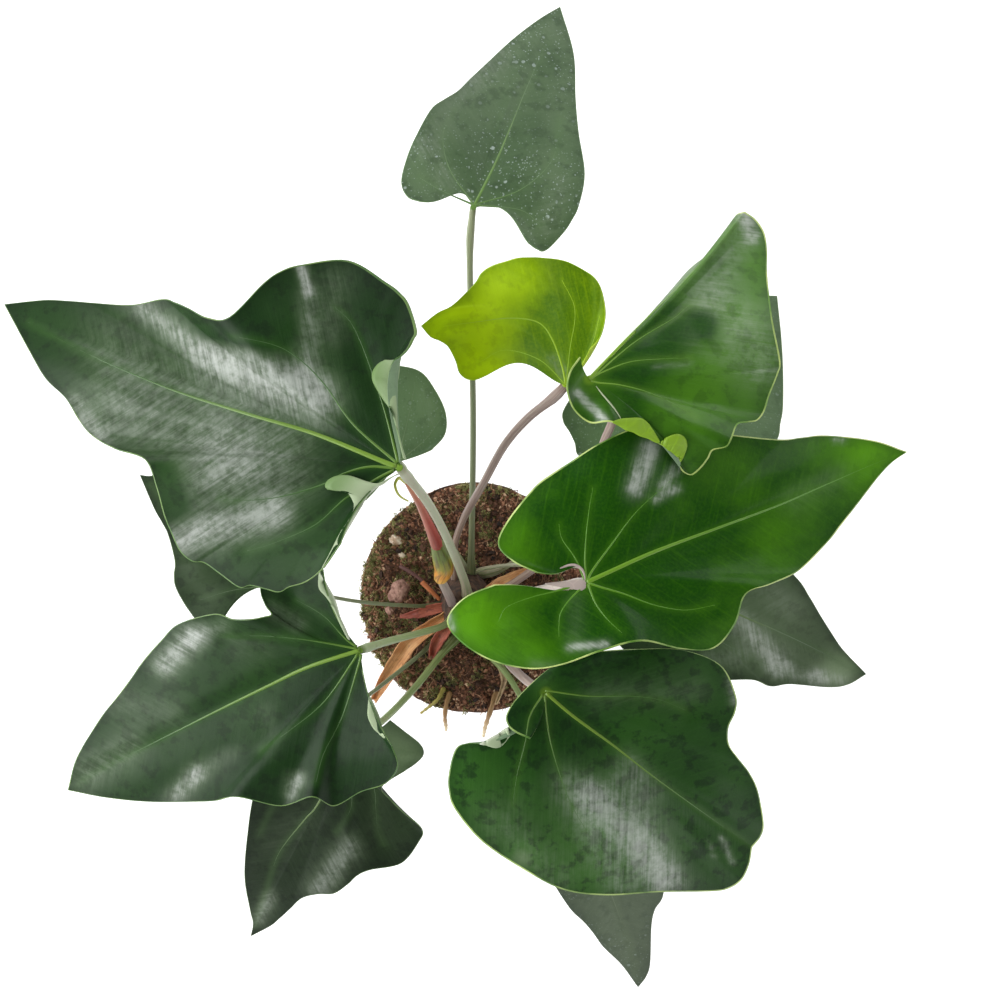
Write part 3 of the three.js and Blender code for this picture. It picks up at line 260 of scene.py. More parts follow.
               [(35.5, -46.5), (38, -46.5), (57, -49), (78.5, -49), (93, -51), (105.5, -56)],
               [(35.5, -48), (35.5, -51), (37.5, -68.5), (42, -85.5), (48.5, -103),
                (56, -116)],
               [(34.5, -48), (28, -59), (25.5, -72.5), (21.5, -88.5), (19.5, -103)]],
        tones=[(24, -130, 8, 2.2), (-2, -95, 18, 0.5), (44, -66, 20, -0.6),
               (60, -38, 22, -0.5), (70, -128, 26, 1.2)]),
    "09": dict(
        hub=(88, 13, 222), tip=(196, -38, 176), arch=0.7, vee=0.12, droop=0.2, rib=0,
        notch=(0.05, 0.05), look="old", slot="leaf_old", quilt=1.2, wave=0.8, margin=0.4,
        left=[(74, 24, 2), (76, 38, -1), (92, 47, -3), (112, 46, 0), (135, 34, 3),
              (160, 11.5, 0), (167.6, 0.8, -1.5), (173.4, -9.1, -3), (179.2, -18.3, -2.5),
              (184.8, -26.3, -2)],
        right=[(72, 3, 2), (66, -10, -1), (74, -25, -3), (92, -36, -2), (115, -41, 1),
               (138.6, -40.9, 3), (148.4, -44.2, 1.5), (158, -43.1, 0), (176.9, -44.6, -2),
               (187, -43.2, -1)],
        painted_highlights=[(116, -30, 132, -30, 6, 0.4), (133, -12, 152, -32, 7, 0.85),
                (128, 12, 156, -4, 9, 0.3), (150, -36, 172, -41, 5, 0.5),
                (172, -38, 184, -41, 4, 0.6)],
        veins=[[(88, 13), (132, -8), (151.5, -16.5), (174.5, -27.5), (191, -36.5)],
               [(88, 13), (113, 21.5), (143, 19), (158, 6.5)],
               [(88, 13), (108, -11), (135.5, -28.5), (158, -37)]],
        tones=[(184, -38, 12, 1.6), (150, -14, 60, 1.8)]),
    "10": dict(
        hub=(40, -80, 204), tip=(82, -194.5, 136), arch=0.7, vee=0.12, droop=0.2, rib=0.04,
        notch=(0.05, 0.05), look="grey", slot="leaf_grey", quilt=1.0, wave=0.8, margin=0.3,
        left=[(50, -72, 1), (64, -74, -2), (78, -90, -3), (89, -110, 0), (95, -130, 2),
              (94.7, -148, 1), (90.4, -155.8, 0), (88.7, -164.5, -1), (88.1, -182, -2),
              (86.1, -189, -1)],
        right=[(29, -74, 1), (17, -84, -2), (15, -101, -3), (24, -120, 0), (36, -137, 2),
               (44.7, -150.6, 0), (49.4, -156.9, -1), (54.9, -161.9, -2), (59.5, -167.3, -2),
               (64.6, -174.3, -2), (73.7, -183.2, -1)],
        painted_highlights=[(63, -151, 75.5, -181, 8, 0.3)],
        veins=[[(40, -80), (55.5, -113.5), (69, -149), (73.5, -161.5), (78.5, -176),
                (81.5, -191)],
               [(40, -80), (63, -101), (83, -126), (90.5, -146)],
               [(40, -80), (38, -111), (53, -141)]]),
    "11": dict(
        hub=(82, 84, 240), tip=(151.5, 151, 200), arch=0.7, vee=0.12, droop=0.2, rib=0,
        notch=(0.05, 0.05), look="sage", slot="leaf_grey", quilt=1.0, wave=0.8, margin=0.3,
        left=[(59, 69, 1), (51.9, 71.5, -1), (50.4, 77.3, -2), (47.7, 83.1, -3),
              (44.6, 88.3, -2.5), (44.8, 94.2, -2), (52, 104, 1), (64, 110, 2), (80, 122, 0),
              (100, 138, -2), (124, 151, -2)],
        right=[(74, 64, 1), (86, 56, -2), (103, 53, -3), (124, 56, 0), (142, 65, 2),
               (151.5, 79, 0), (153.1, 87, -1), (154.4, 95.1, -2), (154.5, 112, -2),
               (153.6, 130.1, 0)],
        veins=[[(73, 90), (103, 114), (128, 134), (147, 147)],
               [(73, 90), (103, 89), (133, 91.5), (148, 106.5)],
               [(73, 90), (88, 109), (108, 126.5), (123, 134)]],
        tones=[(150, 100, 40, -0.9), (50, 85, 16, -0.2)]),
    "12": dict(
        hub=(-94.5, 6.5, 208), tip=(-167, 61.5, 170), arch=0.7, vee=0.12, droop=0.2, rib=0,
        notch=(-0.33, 0.05), look="old", slot="leaf_old", quilt=0.8, wave=0.6, margin=0.3,
        left=[(-125, -10, 1), (-135, -14, -2), (-142.8, -5.9, -3), (-149, 4.9, 0),
              (-150, 11.6, 1), (-149.6, 18.5, 2), (-152.9, 31.5, 0), (-155.9, 37.6, -0.5),
              (-159.8, 44.6, -1)],
        right=[(-84, 20, 1), (-85, 34, -2), (-96, 47, -3), (-116, 57, 0), (-138, 61.5, 1),
               (-156, 62.5, 0), (-161.8, 61, 0)],
        painted_highlights=[(-144.5, 19, -129.5, -1, 6, 0.12)], tones=[(-142, 8, 40, 0.7)],
        veins=[[(-94.5, 6.5), (-117, 20), (-142, 39), (-162, 56.5)],
               [(-94.5, 6.5), (-119.5, 4), (-137, -1)],
               [(-94.5, 6.5), (-122, 34), (-142, 49)]]),
    "13": dict(
        hub=(-38, 68, 252), tip=(-118, 102, 214), arch=0.7, vee=0.12, droop=0.2, rib=0,
        notch=(0.05, 0.05), look="sage", slot="leaf_grey", quilt=0.8, wave=0.6, margin=0.3,
        left=[(-54, 49, 1), (-66, 46, -2), (-82, 52, -3), (-98, 66, 0), (-111, 83, 1)],
        right=[(-21.1, 74.1, 1), (-14.4, 82.1, -1), (-14.2, 92.9, -3), (-20, 105, -2),
               (-27.6, 113.7, 0), (-42, 117, 2), (-62, 121, 0), (-84, 120, -2), (-104, 112, -1)],
        painted_highlights=[(-24.5, 101.5, -22, 89, 5, 0.4)], tones=[(-22, 98, 22, 0.8)],
        veins=[[(-38, 68), (-67, 79), (-97, 91.5), (-114.5, 100)],
               [(-38, 68), (-24.5, 79), (-17, 89)],
               [(-38, 68), (-32, 94), (-29.5, 106.5)]]),
    "14": dict(
        hub=(-64, -56, 186), tip=(-128, -72, 160), arch=0.7, vee=0.14, droop=0.2, rib=0,
        notch=(0.05, 0.05), look="old", slot="leaf_old", quilt=0.7, wave=0.5, margin=0.3,
        left=[(-56, -68, 1), (-62, -78, -1), (-78, -82, -2), (-98, -81, 0), (-114, -77, 0)],
        right=[(-60, -46, 1), (-68, -38, -1), (-84, -38, -2), (-102, -47, 0), (-117, -60, 0)],
        veins=[[(-64, -56), (-87, -61), (-112, -67.5), (-126, -71.5)]]),
}

# Turned edges: rows of points along the fold and along the free edge, which lies over the blade
# and shows its underside; lift of the free edge above the blade.
ROLLS = {
    "01": [dict(lift=2.6, green=0.3,
                fold=[(-37, 119), (-37, 116), (-37.5, 111.5), (-38.5, 106), (-39, 101),
                      (-38.5, 93), (-38, 84), (-36, 75.5), (-34, 69)],
                free=[(-44.5, 119), (-48, 117), (-50.5, 113.5), (-51, 110), (-49.5, 106),
                      (-45.5, 99.5), (-41.5, 94.5), (-39.5, 88), (-35.5, 70)]),
           dict(lift=3.0, green=0,
                fold=[(-37.5, 62), (-40, 61), (-43, 59), (-45.5, 57), (-47.5, 56), (-49, 55),
                      (-50, 54), (-50.5, 53.5), (-51, 53), (-51.5, 52.5), (-52, 52), (-53, 51),
                      (-54, 49.5), (-55, 48), (-56, 46), (-58, 43), (-61, 38), (-64.5, 32),
                      (-69, 23.5), (-75, 15)],
                free=[(-38, 62), (-42, 60), (-45.5, 58), (-49, 57), (-53.5, 58), (-57.5, 59.5),
                      (-61.5, 61), (-65, 61.5), (-69, 61), (-73, 59), (-74.5, 56), (-72.5, 54),
                      (-67.5, 54.5), (-63.5, 53), (-61, 49.5), (-60, 45.5), (-62.5, 39),
                      (-66.5, 33.5), (-70.5, 25.5), (-76, 15.5)])],
    "02": [dict(lift=2.6, green=0,
                fold=[(-77, 13.5), (-73.5, 6.5), (-69.5, -1), (-67, -9.5), (-64.5, -15),
                      (-62, -21)],
                free=[(-77.5, 12), (-77.5, 5), (-73.5, 0), (-69.5, -7), (-66.5, -14),
                      (-63, -20.5)]),
           dict(lift=1.6, green=0.15,
                fold=[(-52, -49.5), (-50, -53.5), (-47.5, -59), (-46, -64), (-44, -70)],
                free=[(-52.5, -49.5), (-53, -54.5), (-53, -59.5), (-50, -65.5), (-45, -70)])],
    "06": [dict(lift=2.0, green=0,
                fold=[(70, 87.5), (73, 86), (76, 84), (79.5, 83), (83, 81), (86.5, 80),
                      (89.5, 78.5), (92, 77.5)],
                free=[(69, 88), (73, 89.5), (78, 90), (83, 90), (86.5, 88), (89.5, 84),
                      (92, 80), (93, 78)]),
           dict(lift=2.0, green=0,
                fold=[(93.5, 77), (95, 76), (97, 74), (99, 73), (101, 71), (102.5, 70), (103, 68)],
                free=[(93.5, 78), (96, 80), (99, 81.5), (102.5, 82), (105.5, 80), (106.5, 76),
                      (105, 71), (103.5, 68.5)])],
    "08": [dict(lift=1.2, green=0,
                fold=[(3, -73), (6.5, -71), (10, -69), (13.5, -67), (17, -64.5)],
                free=[(3, -73), (7, -74), (11, -75), (14.5, -73.5), (18, -69)])],
}

# Hems, where an edge is rolled tight: half width, height above the blade, whether it is a
# wedge that widens along the route, and the route.
HEMS = {
    "06": [dict(half=0.45, rise=0.8, wedge=0,
                route=[(61, 106), (64, 102), (67.5, 98), (71, 93.5), (73.5, 89.5)])],
    "07": [dict(half=3.5, rise=0.9, wedge=1,
                route=[(35.5, 7.2), (42, 6.9), (48, 6.6), (56, 6.4)]),
           dict(half=0.75, rise=0.9, wedge=0,
                route=[(43, 14.8), (47.5, 16.4), (51, 16.3), (53.8, 14.4), (55.2, 11.4),
                       (55.6, 8)])],
}

# deep, fresh and dark: the blade's greens. vein and side: midrib and side veins. mottle: how
# strong the dark mottles are. painted_haze: how pale the painted highlight strokes turn the
# colour. gloss: the blade's roughness, and shine: how strongly it reflects. coat and wax: weight
# and roughness of its wax.
LOOKS = {
    "dark": dict(deep=(20, 46, 16), fresh=(40, 72, 28), dark=(6, 18, 8), vein=(118, 152, 48),
                 side=(58, 98, 36), margin=(110, 140, 70), mottle=0.4, painted_haze=0.5, gloss=0.42,
                 shine=0.09, coat=0.06, wax=0.28),
    "old": dict(deep=(24, 38, 20), fresh=(46, 64, 38), dark=(10, 20, 10), vein=(112, 134, 72),
                side=(66, 92, 52), margin=(92, 118, 66), mottle=0.45, painted_haze=0.4, gloss=0.46,
                shine=0.08, coat=0.05, wax=0.32),
    "grey": dict(deep=(76, 88, 70), fresh=(100, 112, 92), dark=(56, 66, 56), vein=(112, 122, 92),
                 side=(96, 110, 84), margin=(112, 126, 100), mottle=0.3, painted_haze=0.3, gloss=0.5,
                 shine=0.1, coat=0.04, wax=0.35),
    "sage": dict(deep=(84, 108, 74), fresh=(112, 138, 100), dark=(56, 76, 50),
                 vein=(120, 140, 94), side=(104, 128, 88), margin=(152, 172, 124), mottle=0.3,
                 painted_haze=0.3, gloss=0.48, shine=0.14, coat=0.06, wax=0.35),
    "limed": dict(deep=(74, 98, 66), fresh=(112, 134, 100), dark=(56, 76, 52),
                  vein=(106, 142, 66), side=(92, 122, 76), margin=(112, 144, 92), mottle=0.5,
                  painted_haze=0.3, gloss=0.5, shine=0.16, coat=0.06, wax=0.35),
    "young": dict(deep=(78, 118, 4), fresh=(190, 226, 8), dark=(70, 104, 8),
                  vein=(160, 194, 30), side=(128, 168, 12), margin=(180, 208, 40), mottle=0.2,
                  painted_haze=0.3, gloss=0.45, shine=0.08, coat=0.05, wax=0.3),
    "wet": dict(deep=(24, 68, 6), fresh=(72, 122, 24), dark=(12, 44, 6), vein=(130, 168, 44),
                side=(96, 142, 38), margin=(184, 202, 116), mottle=0.3, painted_haze=0.46, gloss=0.36,
                shine=0.1, coat=0.14, wax=0.16),
    "bright": dict(deep=(20, 66, 2), fresh=(82, 142, 8), dark=(12, 46, 4), vein=(108, 152, 30),
                   side=(72, 124, 18), margin=(196, 212, 128), mottle=0.16, painted_haze=0.55, gloss=0.42,
                   shine=0.08, coat=0.07, wax=0.16),
    "mottled": dict(deep=(22, 56, 14), fresh=(48, 92, 28), dark=(10, 36, 10),
                    vein=(112, 142, 36), side=(70, 110, 36), margin=(176, 200, 118), mottle=0.7,
                    painted_haze=0.46, gloss=0.42, shine=0.09, coat=0.07, wax=0.22),
}
UNDERSIDES = {"lime": (132, 172, 24), "pearl": (184, 168, 160), "rim": (186, 198, 160),
              "soft": (118, 144, 110)}
# The pale green that the strongest tones turn to: the paler tissue of some leaves, and a painted
# sheen on others.
PALE_TISSUE_AND_SHEEN = (112, 132, 98)
# The finishes of a leaf, in the order in which leaf_finishes gives them.
UPPER, UNDER, MARGIN, VEIN, FLAP, CUFF = range(6)
# The turned edge's colours: nearly white along the fold, partly the pale underside and partly a
# painted highlight where the fold turns; paler and then greener away from it.
ROLLED_WITH_FOLD_HIGHLIGHT = {"fold": (190, 196, 176), "pale": (160, 176, 140), "free": (104, 134, 76)}

RAYS_PER_POINT = 7
INNER_RINGS = 38
MARGIN_RINGS = [2.6, 1.3]
BLADE_THICKNESS = 0.5
VALLEY_ROUNDING = 4
QUILT_REACH = 7
QUILT_START = 14
QUILT_GROWTH = 45
WAVE_GROWTH = 50
BROAD_WAVE = 44
CLOSE_WAVE = 17
EDGE_CALM = 0.65
RIPPLE = 2.2
# The strongest painted highlight that a point of a blade can take.
MOST_PAINTED_HIGHLIGHT = 1.2
HALO_REACH = 2.0
HUB_GLOW = 1.4
HUB_GLOW_SPREAD = 42
DARK_EDGE_REACH = 5
VEIN_STEP = 1.6
VEIN_SIDES = 8
THINNEST_VEIN = 0.19
HEM_STEPS = 30
HEM_SIDES = 12
BOSS_RISE = 0.14
BOSS_RINGS = 6
BOSS_SIDES = 14
ROLL_ROWS = 44
ROLL_COLUMNS = 9
ROLL_GREENS = 24


def spline(points, u):
    """A point on the smooth curve through a row of vectors, from 0 at its start to 1."""
    along = (len(points) - 1) * min(max(u, 0), 1)
    i = min(int(along), len(points) - 2)
    w = along - i
    b, c = points[i], points[i + 1]
    a = points[i - 1] if i > 0 else b * 2 - c
    d = points[i + 2] if i + 2 < len(points) else c * 2 - b
    start, end = (c - a) * 0.5, (d - b) * 0.5
    return (b + start * w + (c * 3 - b * 3 - start * 2 - end) * (w * w)
            + (b * 2 - c * 2 + start + end) * (w * w * w))


def curve_points(points, count):
    """Evenly spaced points along the smooth curve through a row of vectors."""
    fine = [spline(points, i / (count * 8)) for i in range(count * 8 + 1)]
    reach = [0]
    for a, b in zip(fine, fine[1:]):
        reach.append(reach[-1] + (b - a).length)
    row, j = [], 0
    for i in range(count + 1):
        goal = reach[-1] * i / count
        while j + 2 < len(fine) and reach[j + 1] < goal:
            j += 1
        piece = max(reach[j + 1] - reach[j], 1e-9)
        row.append(fine[j].lerp(fine[j + 1], min(max((goal - reach[j]) / piece, 0), 1)))
    return row


def smooth_step(u):
    """From 0 to 1, with a soft start and a soft end."""
    u = min(max(u, 0), 1)
    return u * u * (3 - 2 * u)


def span(x, y, ax, ay, bx, by):
    """How far a point lies from a straight stroke."""
    dx, dy = bx - ax, by - ay
    u = ((x - ax) * dx + (y - ay) * dy) / max(dx * dx + dy * dy, 1e-9)
    u = min(max(u, 0), 1)
    return math.hypot(x - ax - dx * u, y - ay - dy * u)


def across_route(route, i):
    """The level direction across a route at one of its points."""
    ahead = route[min(i + 1, len(route) - 1)] - route[max(i - 1, 0)]
    return Vector((-ahead.y, ahead.x, 0)).normalized()


def place(point):
    """A point laid out as seen from above, moved to where it is at its height."""
    scale = (EYE.z - point.z) / (EYE.z - SOIL_LEVEL)
    return Vector((EYE.x + (point.x - EYE.x) * scale, EYE.y + (point.y - EYE.y) * scale, point.z))


class Shape:
    """The points, faces, looks and named values of a piece while it is being made."""

    def __init__(self):
        self.points, self.faces, self.looks = [], [], []
        self.values = {}

    def point(self, where, **values):
        self.points.append(where)
        for name, value in values.items():
            self.values.setdefault(name, {})[len(self.points) - 1] = value
        return len(self.points) - 1

    def face(self, corners, look=0):
        self.faces.append(corners)
        self.looks.append(look)

    def tube(self, rows, look=0, capped=True):
        """The faces between rings of points, one ring after another."""
        for a, b in zip(rows, rows[1:]):
            for s in range(len(a)):
                n = (s + 1) % len(a)
                self.face((a[s], b[s], b[n], a[n]), look)
        if capped:
            self.face(tuple(rows[0]), look)
            self.face(tuple(reversed(rows[-1])), look)

    def piece(self, name, finishes, smooth=True):
        mesh = bpy.data.meshes.new(name)
        mesh.from_pydata([p * MM for p in self.points], [], self.faces)
        for finish in finishes:
            mesh.materials.append(finish)
        mesh.polygons.foreach_set("material_index", self.looks)
        mesh.polygons.foreach_set("use_smooth", [smooth] * len(self.faces))
        for value, known in self.values.items():
            vector = isinstance(next(iter(known.values())), tuple)
            kind, field = ("FLOAT_VECTOR", "vector") if vector else ("FLOAT", "value")
            layer = mesh.attributes.new(value, kind, "POINT")
            blank = (0.0, 0.0, 0.0) if vector else 0.0
            row = [known.get(i, blank) for i in range(len(self.points))]
            layer.data.foreach_set(field, [v for p in row for v in p] if vector else row)
        mesh.update()
        thing = bpy.data.objects.new(name, mesh)
        bpy.context.collection.objects.link(thing)
        return thing


def start(add, name, **settings):
    """A primitive, added with all else deselected."""
    bpy.ops.object.select_all(action="DESELECT")
    add(**settings)
    thing = bpy.context.object
    thing.name = thing.data.name = name
    return thing


def hand_over(piece, slot, *nodes):
    """Every piece rides on the plant and stands for its solids, which it hides; its slot is not
    used.
    """
    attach(piece, "root")
    if nodes:
        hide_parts(*nodes)


class Blade:
    """One leaf blade, laid out as seen from above."""

    def __init__(self, key, leaf):
        self.key, self.leaf = key, leaf
        self.hub, self.tip = Vector(leaf["hub"]), Vector(leaf["tip"])
        run = self.tip - self.hub
        self.length = math.hypot(run.x, run.y)
        self.axis = (run.x / self.length, run.y / self.length)
        self.veins = [curve_points([Vector((x, y, 0)) for x, y in vein], max(8, int(
            sum(math.dist(a, b) for a, b in zip(vein, vein[1:])) / VEIN_STEP)))
            for vein in leaf["veins"]]
        marks = [p for vein in self.veins for p in vein]
        self.near_veins = kdtree.KDTree(len(marks))
        for i, p in enumerate(marks):
            self.near_veins.insert(p, i)
        self.near_veins.balance()
        self.seed = Vector((int(key) * 37.0, int(key) * 11.0, 0))

    def frame(self, x, y):
        """How far a point lies along the midrib's line and across it."""
        dx, dy = x - self.hub.x, y - self.hub.y
        return dx * self.axis[0] + dy * self.axis[1], dx * self.axis[1] - dy * self.axis[0]

    def height(self, x, y):
        """The blade's height before it swells and waves."""
        along, across = self.frame(x, y)
        leaf, a = self.leaf, along / self.length
        slope = (self.hub.z - self.tip.z) * (a * (1 - leaf["arch"]) + a * a * leaf["arch"])
        trough = leaf["vee"] * (math.hypot(across, VALLEY_ROUNDING) - VALLEY_ROUNDING)
        return self.hub.z - slope + trough - leaf["droop"] * across * across / 100

    def relief(self, x, y, t):
        """Swelling between the veins, and gentle waves, both fading at the hub and the edge."""
        leaf = self.leaf
        gap = self.near_veins.find(Vector((x, y, 0)))[2]
        away = math.hypot(x - self.hub.x, y - self.hub.y)
        swell = leaf["quilt"] * (1 - math.exp(-(gap / QUILT_REACH) ** 2))
        swell *= smooth_step((away - QUILT_START) / QUILT_GROWTH)
        spot = Vector((x, y, 0)) + self.seed
        waves = leaf["wave"] * (noise.noise(spot / BROAD_WAVE) * 2.0
                                + noise.noise(spot / CLOSE_WAVE) * 0.16)
        waves *= smooth_step(away / WAVE_GROWTH)
        return (swell + waves) * (1 - EDGE_CALM * smooth_step((t - 0.75) / 0.25)), gap

    def ray(self, margin, bend, lean=1, nick=1):
        """Points from the hub to a margin point, with how near the edge each one lies."""
        run_x, run_y = margin.x - self.hub.x, margin.y - self.hub.y
        length = math.hypot(run_x, run_y)
        edge = min(1, 0.12 * length / MARGIN_RINGS[0])
        outer = [1 - band * edge / length for band in MARGIN_RINGS]
        rim = [1 - self.leaf["margin"] * edge / length, 1]
        inner = [(i / INNER_RINGS) ** 0.9 * outer[0] for i in range(1, INNER_RINGS)]
        row = []
        for t in inner + outer + rim:
            bow = 2 * t ** lean * (1 - t) ** nick * bend
            x = self.hub.x + run_x * t - run_y * bow
            y = self.hub.y + run_y * t + run_x * bow
            lift, gap = self.relief(x, y, t)
            point = Vector((x, y, self.height(x, y) + margin.z * t ** RIPPLE + lift))
            row.append((point, gap, (1 - t) * length))
        return row

    def side(self, points, side):
        """The rays of one half of the blade: side is 1 on its left and -1 on its right."""
        row = [Vector(p) for p in points] + [Vector((self.tip.x, self.tip.y, 0))]
        count = len(points) * RAYS_PER_POINT
        which = 0 if side > 0 else 1
        notch = side * self.leaf["notch"][which]
        nick = self.leaf.get("nick", (1, 1))[which]
        lean = self.leaf.get("lean", (1, 1))[which]
        rays = []
        for i in range(count):
            p = spline(row, i / count)
            share = smooth_step(i / count) if nick == 1 else max(
                0, 1 - self.swing(p, side) / self.swing(row[0], side))
            bend = notch + (self.leaf["rib"] - notch) * share
            rays.append(self.ray(p, bend, 1 + (lean - 1) * (1 - share),
                                 1 + (nick - 1) * (1 - share)))
        return rays

    def swing(self, p, side):
        """How far round from the midrib a margin point lies."""
        turn = math.atan2(p.y - self.hub.y, p.x - self.hub.x) - math.atan2(
            self.axis[1], self.axis[0])
        return (side * turn + 0.3) % math.tau - 0.3

    def tone(self, x, y):
        """How much deeper or fresher the green is at a point: partly the leaf's own colour, partly
        painted shade and painted light.
        """
        total = 0
        for cx, cy, reach, strength in self.leaf.get("tones", []):
            total += strength * math.exp(-((x - cx) ** 2 + (y - cy) ** 2) / reach ** 2)
        return total

    def sheen(self, x, y):
        """Strokes of painted highlight, where the wax on the blade catches the light: they pale its
        colour and thicken its wax coat.
        """
        total = 0
        for ax, ay, bx, by, reach, strength in self.leaf.get("painted_highlights", []):
            total += strength * math.exp(-(span(x, y, ax, ay, bx, by) / reach) ** 2)
        return min(max(total, 0), MOST_PAINTED_HIGHLIGHT)

    def make(self, finishes):
        """The blade with its veins, knot, turned edges and hems, as one piece."""
        leaf = self.leaf
        tip = Vector((self.tip.x, self.tip.y, 0))
        rays = self.side(leaf["right"], -1) + [self.ray(tip, leaf["rib"])]
        rays += reversed(self.side(leaf["left"], 1))
        plan = [self.hub.copy()] + [point for ray in rays for point, _, _ in ray]
        near = [(0, 99)] + [(gap, rim) for ray in rays for _, gap, rim in ray]
        rings = len(rays[0])
        at = lambda i, j: 1 + i * rings + j
        faces, bands = [], []
        for i in range(len(rays) - 1):
            faces.append((0, at(i, 0), at(i + 1, 0)))
            bands.append(UPPER)
            for j in range(rings - 1):
                faces.append((at(i, j), at(i, j + 1), at(i + 1, j + 1), at(i + 1, j)))
                bands.append(MARGIN if j == rings - 2 else UPPER)
        rim = [0] + [at(0, j) for j in range(rings)]
        rim += [at(i, rings - 1) for i in range(1, len(rays) - 1)]
        rim += [at(len(rays) - 1, j) for j in range(rings - 1, -1, -1)]
        self.surface = BVHTree.FromPolygons(plan, faces)
        shape = Shape()
        real = [place(p) for p in plan]
        normals = sheet_normals(real, faces)
        count = len(plan)
        for side in (1, -1):
            for p, q, normal, (gap, inset) in zip(plan, real, normals, near):
                along, across = self.frame(p.x, p.y)
                from_hub = (p.x - self.hub.x) ** 2 + (p.y - self.hub.y) ** 2
                shape.point(q + normal * (side * BLADE_THICKNESS / 2),
                            halo=max(math.exp(-(gap / HALO_REACH) ** 2),
                                     HUB_GLOW * math.exp(-from_hub / HUB_GLOW_SPREAD)),
                            edge=math.exp(-(inset / DARK_EDGE_REACH) ** 2),
                            tone=self.tone(p.x, p.y), sheen=self.sheen(p.x, p.y),
                            grain=(along - abs(across) * 0.7, abs(across), 0.0))
        for face, band in zip(faces, bands):
            shape.face(face, band)
            shape.face([count + i for i in reversed(face)], UNDER)
        for a, b in zip(rim, rim[1:] + rim[:1]):
            shape.face((a, count + a, count + b, b), MARGIN)
        for i, vein in enumerate(self.veins):
            self.add_vein(shape, vein, i == 0)
        self.add_boss(shape)
        for roll in ROLLS.get(self.key, []):
            self.add_roll(shape, roll)
        for hem in HEMS.get(self.key, []):
            self.add_hem(shape, hem)
        return shape.piece("blade_" + self.key, finishes)

    def drop(self, x, y):
        """The blade's height under a point of the layout."""
        hit = self.surface.ray_cast(Vector((x, y, 500)), Vector((0, 0, -1)))[0]
        if hit is None:
            near = self.surface.find_nearest(Vector((x, y, self.height(x, y))))[0]
            return near.z
        return hit.z

    def add_vein(self, shape, vein, midrib):
        """A raised vein, thinner towards its end, through both faces of the blade."""
        size = (0.0068 if midrib else 0.0036) * min(self.length, 200)
        taper = 1.05 if midrib else 1.5
        rows = []
        for i, p in enumerate(vein):
            across = across_route(vein, i)
            u = i / (len(vein) - 1)
            half = size * (1 - u) ** taper + THINNEST_VEIN
            fade = (1 - u) ** 0.6 * (1 if midrib else 0.75)
            centre = Vector((p.x, p.y, self.drop(p.x, p.y)))
            row = []
            for s in range(VEIN_SIDES):
                angle = s / VEIN_SIDES * math.tau
                rise = math.sin(angle)
                lift = rise * (BLADE_THICKNESS / 2 + half * (0.3 if rise > 0 else 0.8))
                offset = across * (half * math.cos(angle)) + Vector((0, 0, lift))
                row.append(shape.point(place(centre + offset), fade=fade))
            rows.append(row)
        shape.tube(rows, VEIN)

    def add_hem(self, shape, hem):
        """A tightly rolled edge: a soft strip, half round on top, thin at both ends."""
        route = curve_points([Vector((x, y, 0)) for x, y in hem["route"]], HEM_STEPS)
        rows = []
        for i, p in enumerate(route):
            across, u = across_route(route, i), i / HEM_STEPS
            full = math.sin(math.pi * (0.06 + 0.88 * u)) ** 0.5
            if hem["wedge"]:
                full = (0.06 + 0.94 * u) * min(1, (HEM_STEPS + 1 - i) / 4) ** 0.5
            centre = Vector((p.x, p.y, self.drop(p.x, p.y)))
            row = []
            for k in range(HEM_SIDES):
                angle = k / HEM_SIDES * math.tau
                rise = math.sin(angle) * hem["rise"] * full * (1 if math.sin(angle) > 0 else 0.5)
                offset = across * (hem["half"] * full * math.cos(angle)) + Vector((0, 0, rise))
                row.append(shape.point(place(centre + offset)))
            rows.append(row)
        shape.tube(rows, CUFF)

    def add_boss(self, shape):
        """The rounded knot where the veins meet on top of the stalk."""
        size = 1.0 + 0.0045 * self.length
        rows = []
        centre = self.hub + Vector((self.axis[0], self.axis[1], 0)) * (size * 0.3)
        for i in range(1, BOSS_RINGS):
            lat = i / BOSS_RINGS * math.pi
            row = []
            for s in range(BOSS_SIDES):
                angle = s / BOSS_SIDES * math.tau
                flat = Vector((math.cos(angle) * 1.1, math.sin(angle), 0)) * math.sin(lat)
                spot = flat * size + Vector((0, 0, math.cos(lat) * size * BOSS_RISE))
                row.append(shape.point(place(centre + spot), fade=1.0))
            rows.append(row)
        top = shape.point(place(centre + Vector((0, 0, size * BOSS_RISE))), fade=1.0)
        foot = shape.point(place(centre - Vector((0, 0, size * BOSS_RISE))), fade=1.0)
        shape.tube(rows, VEIN, capped=False)
        for s in range(BOSS_SIDES):
            n = (s + 1) % BOSS_SIDES
            shape.face((top, rows[0][s], rows[0][n]), VEIN)
            shape.face((foot, rows[-1][n], rows[-1][s]), VEIN)

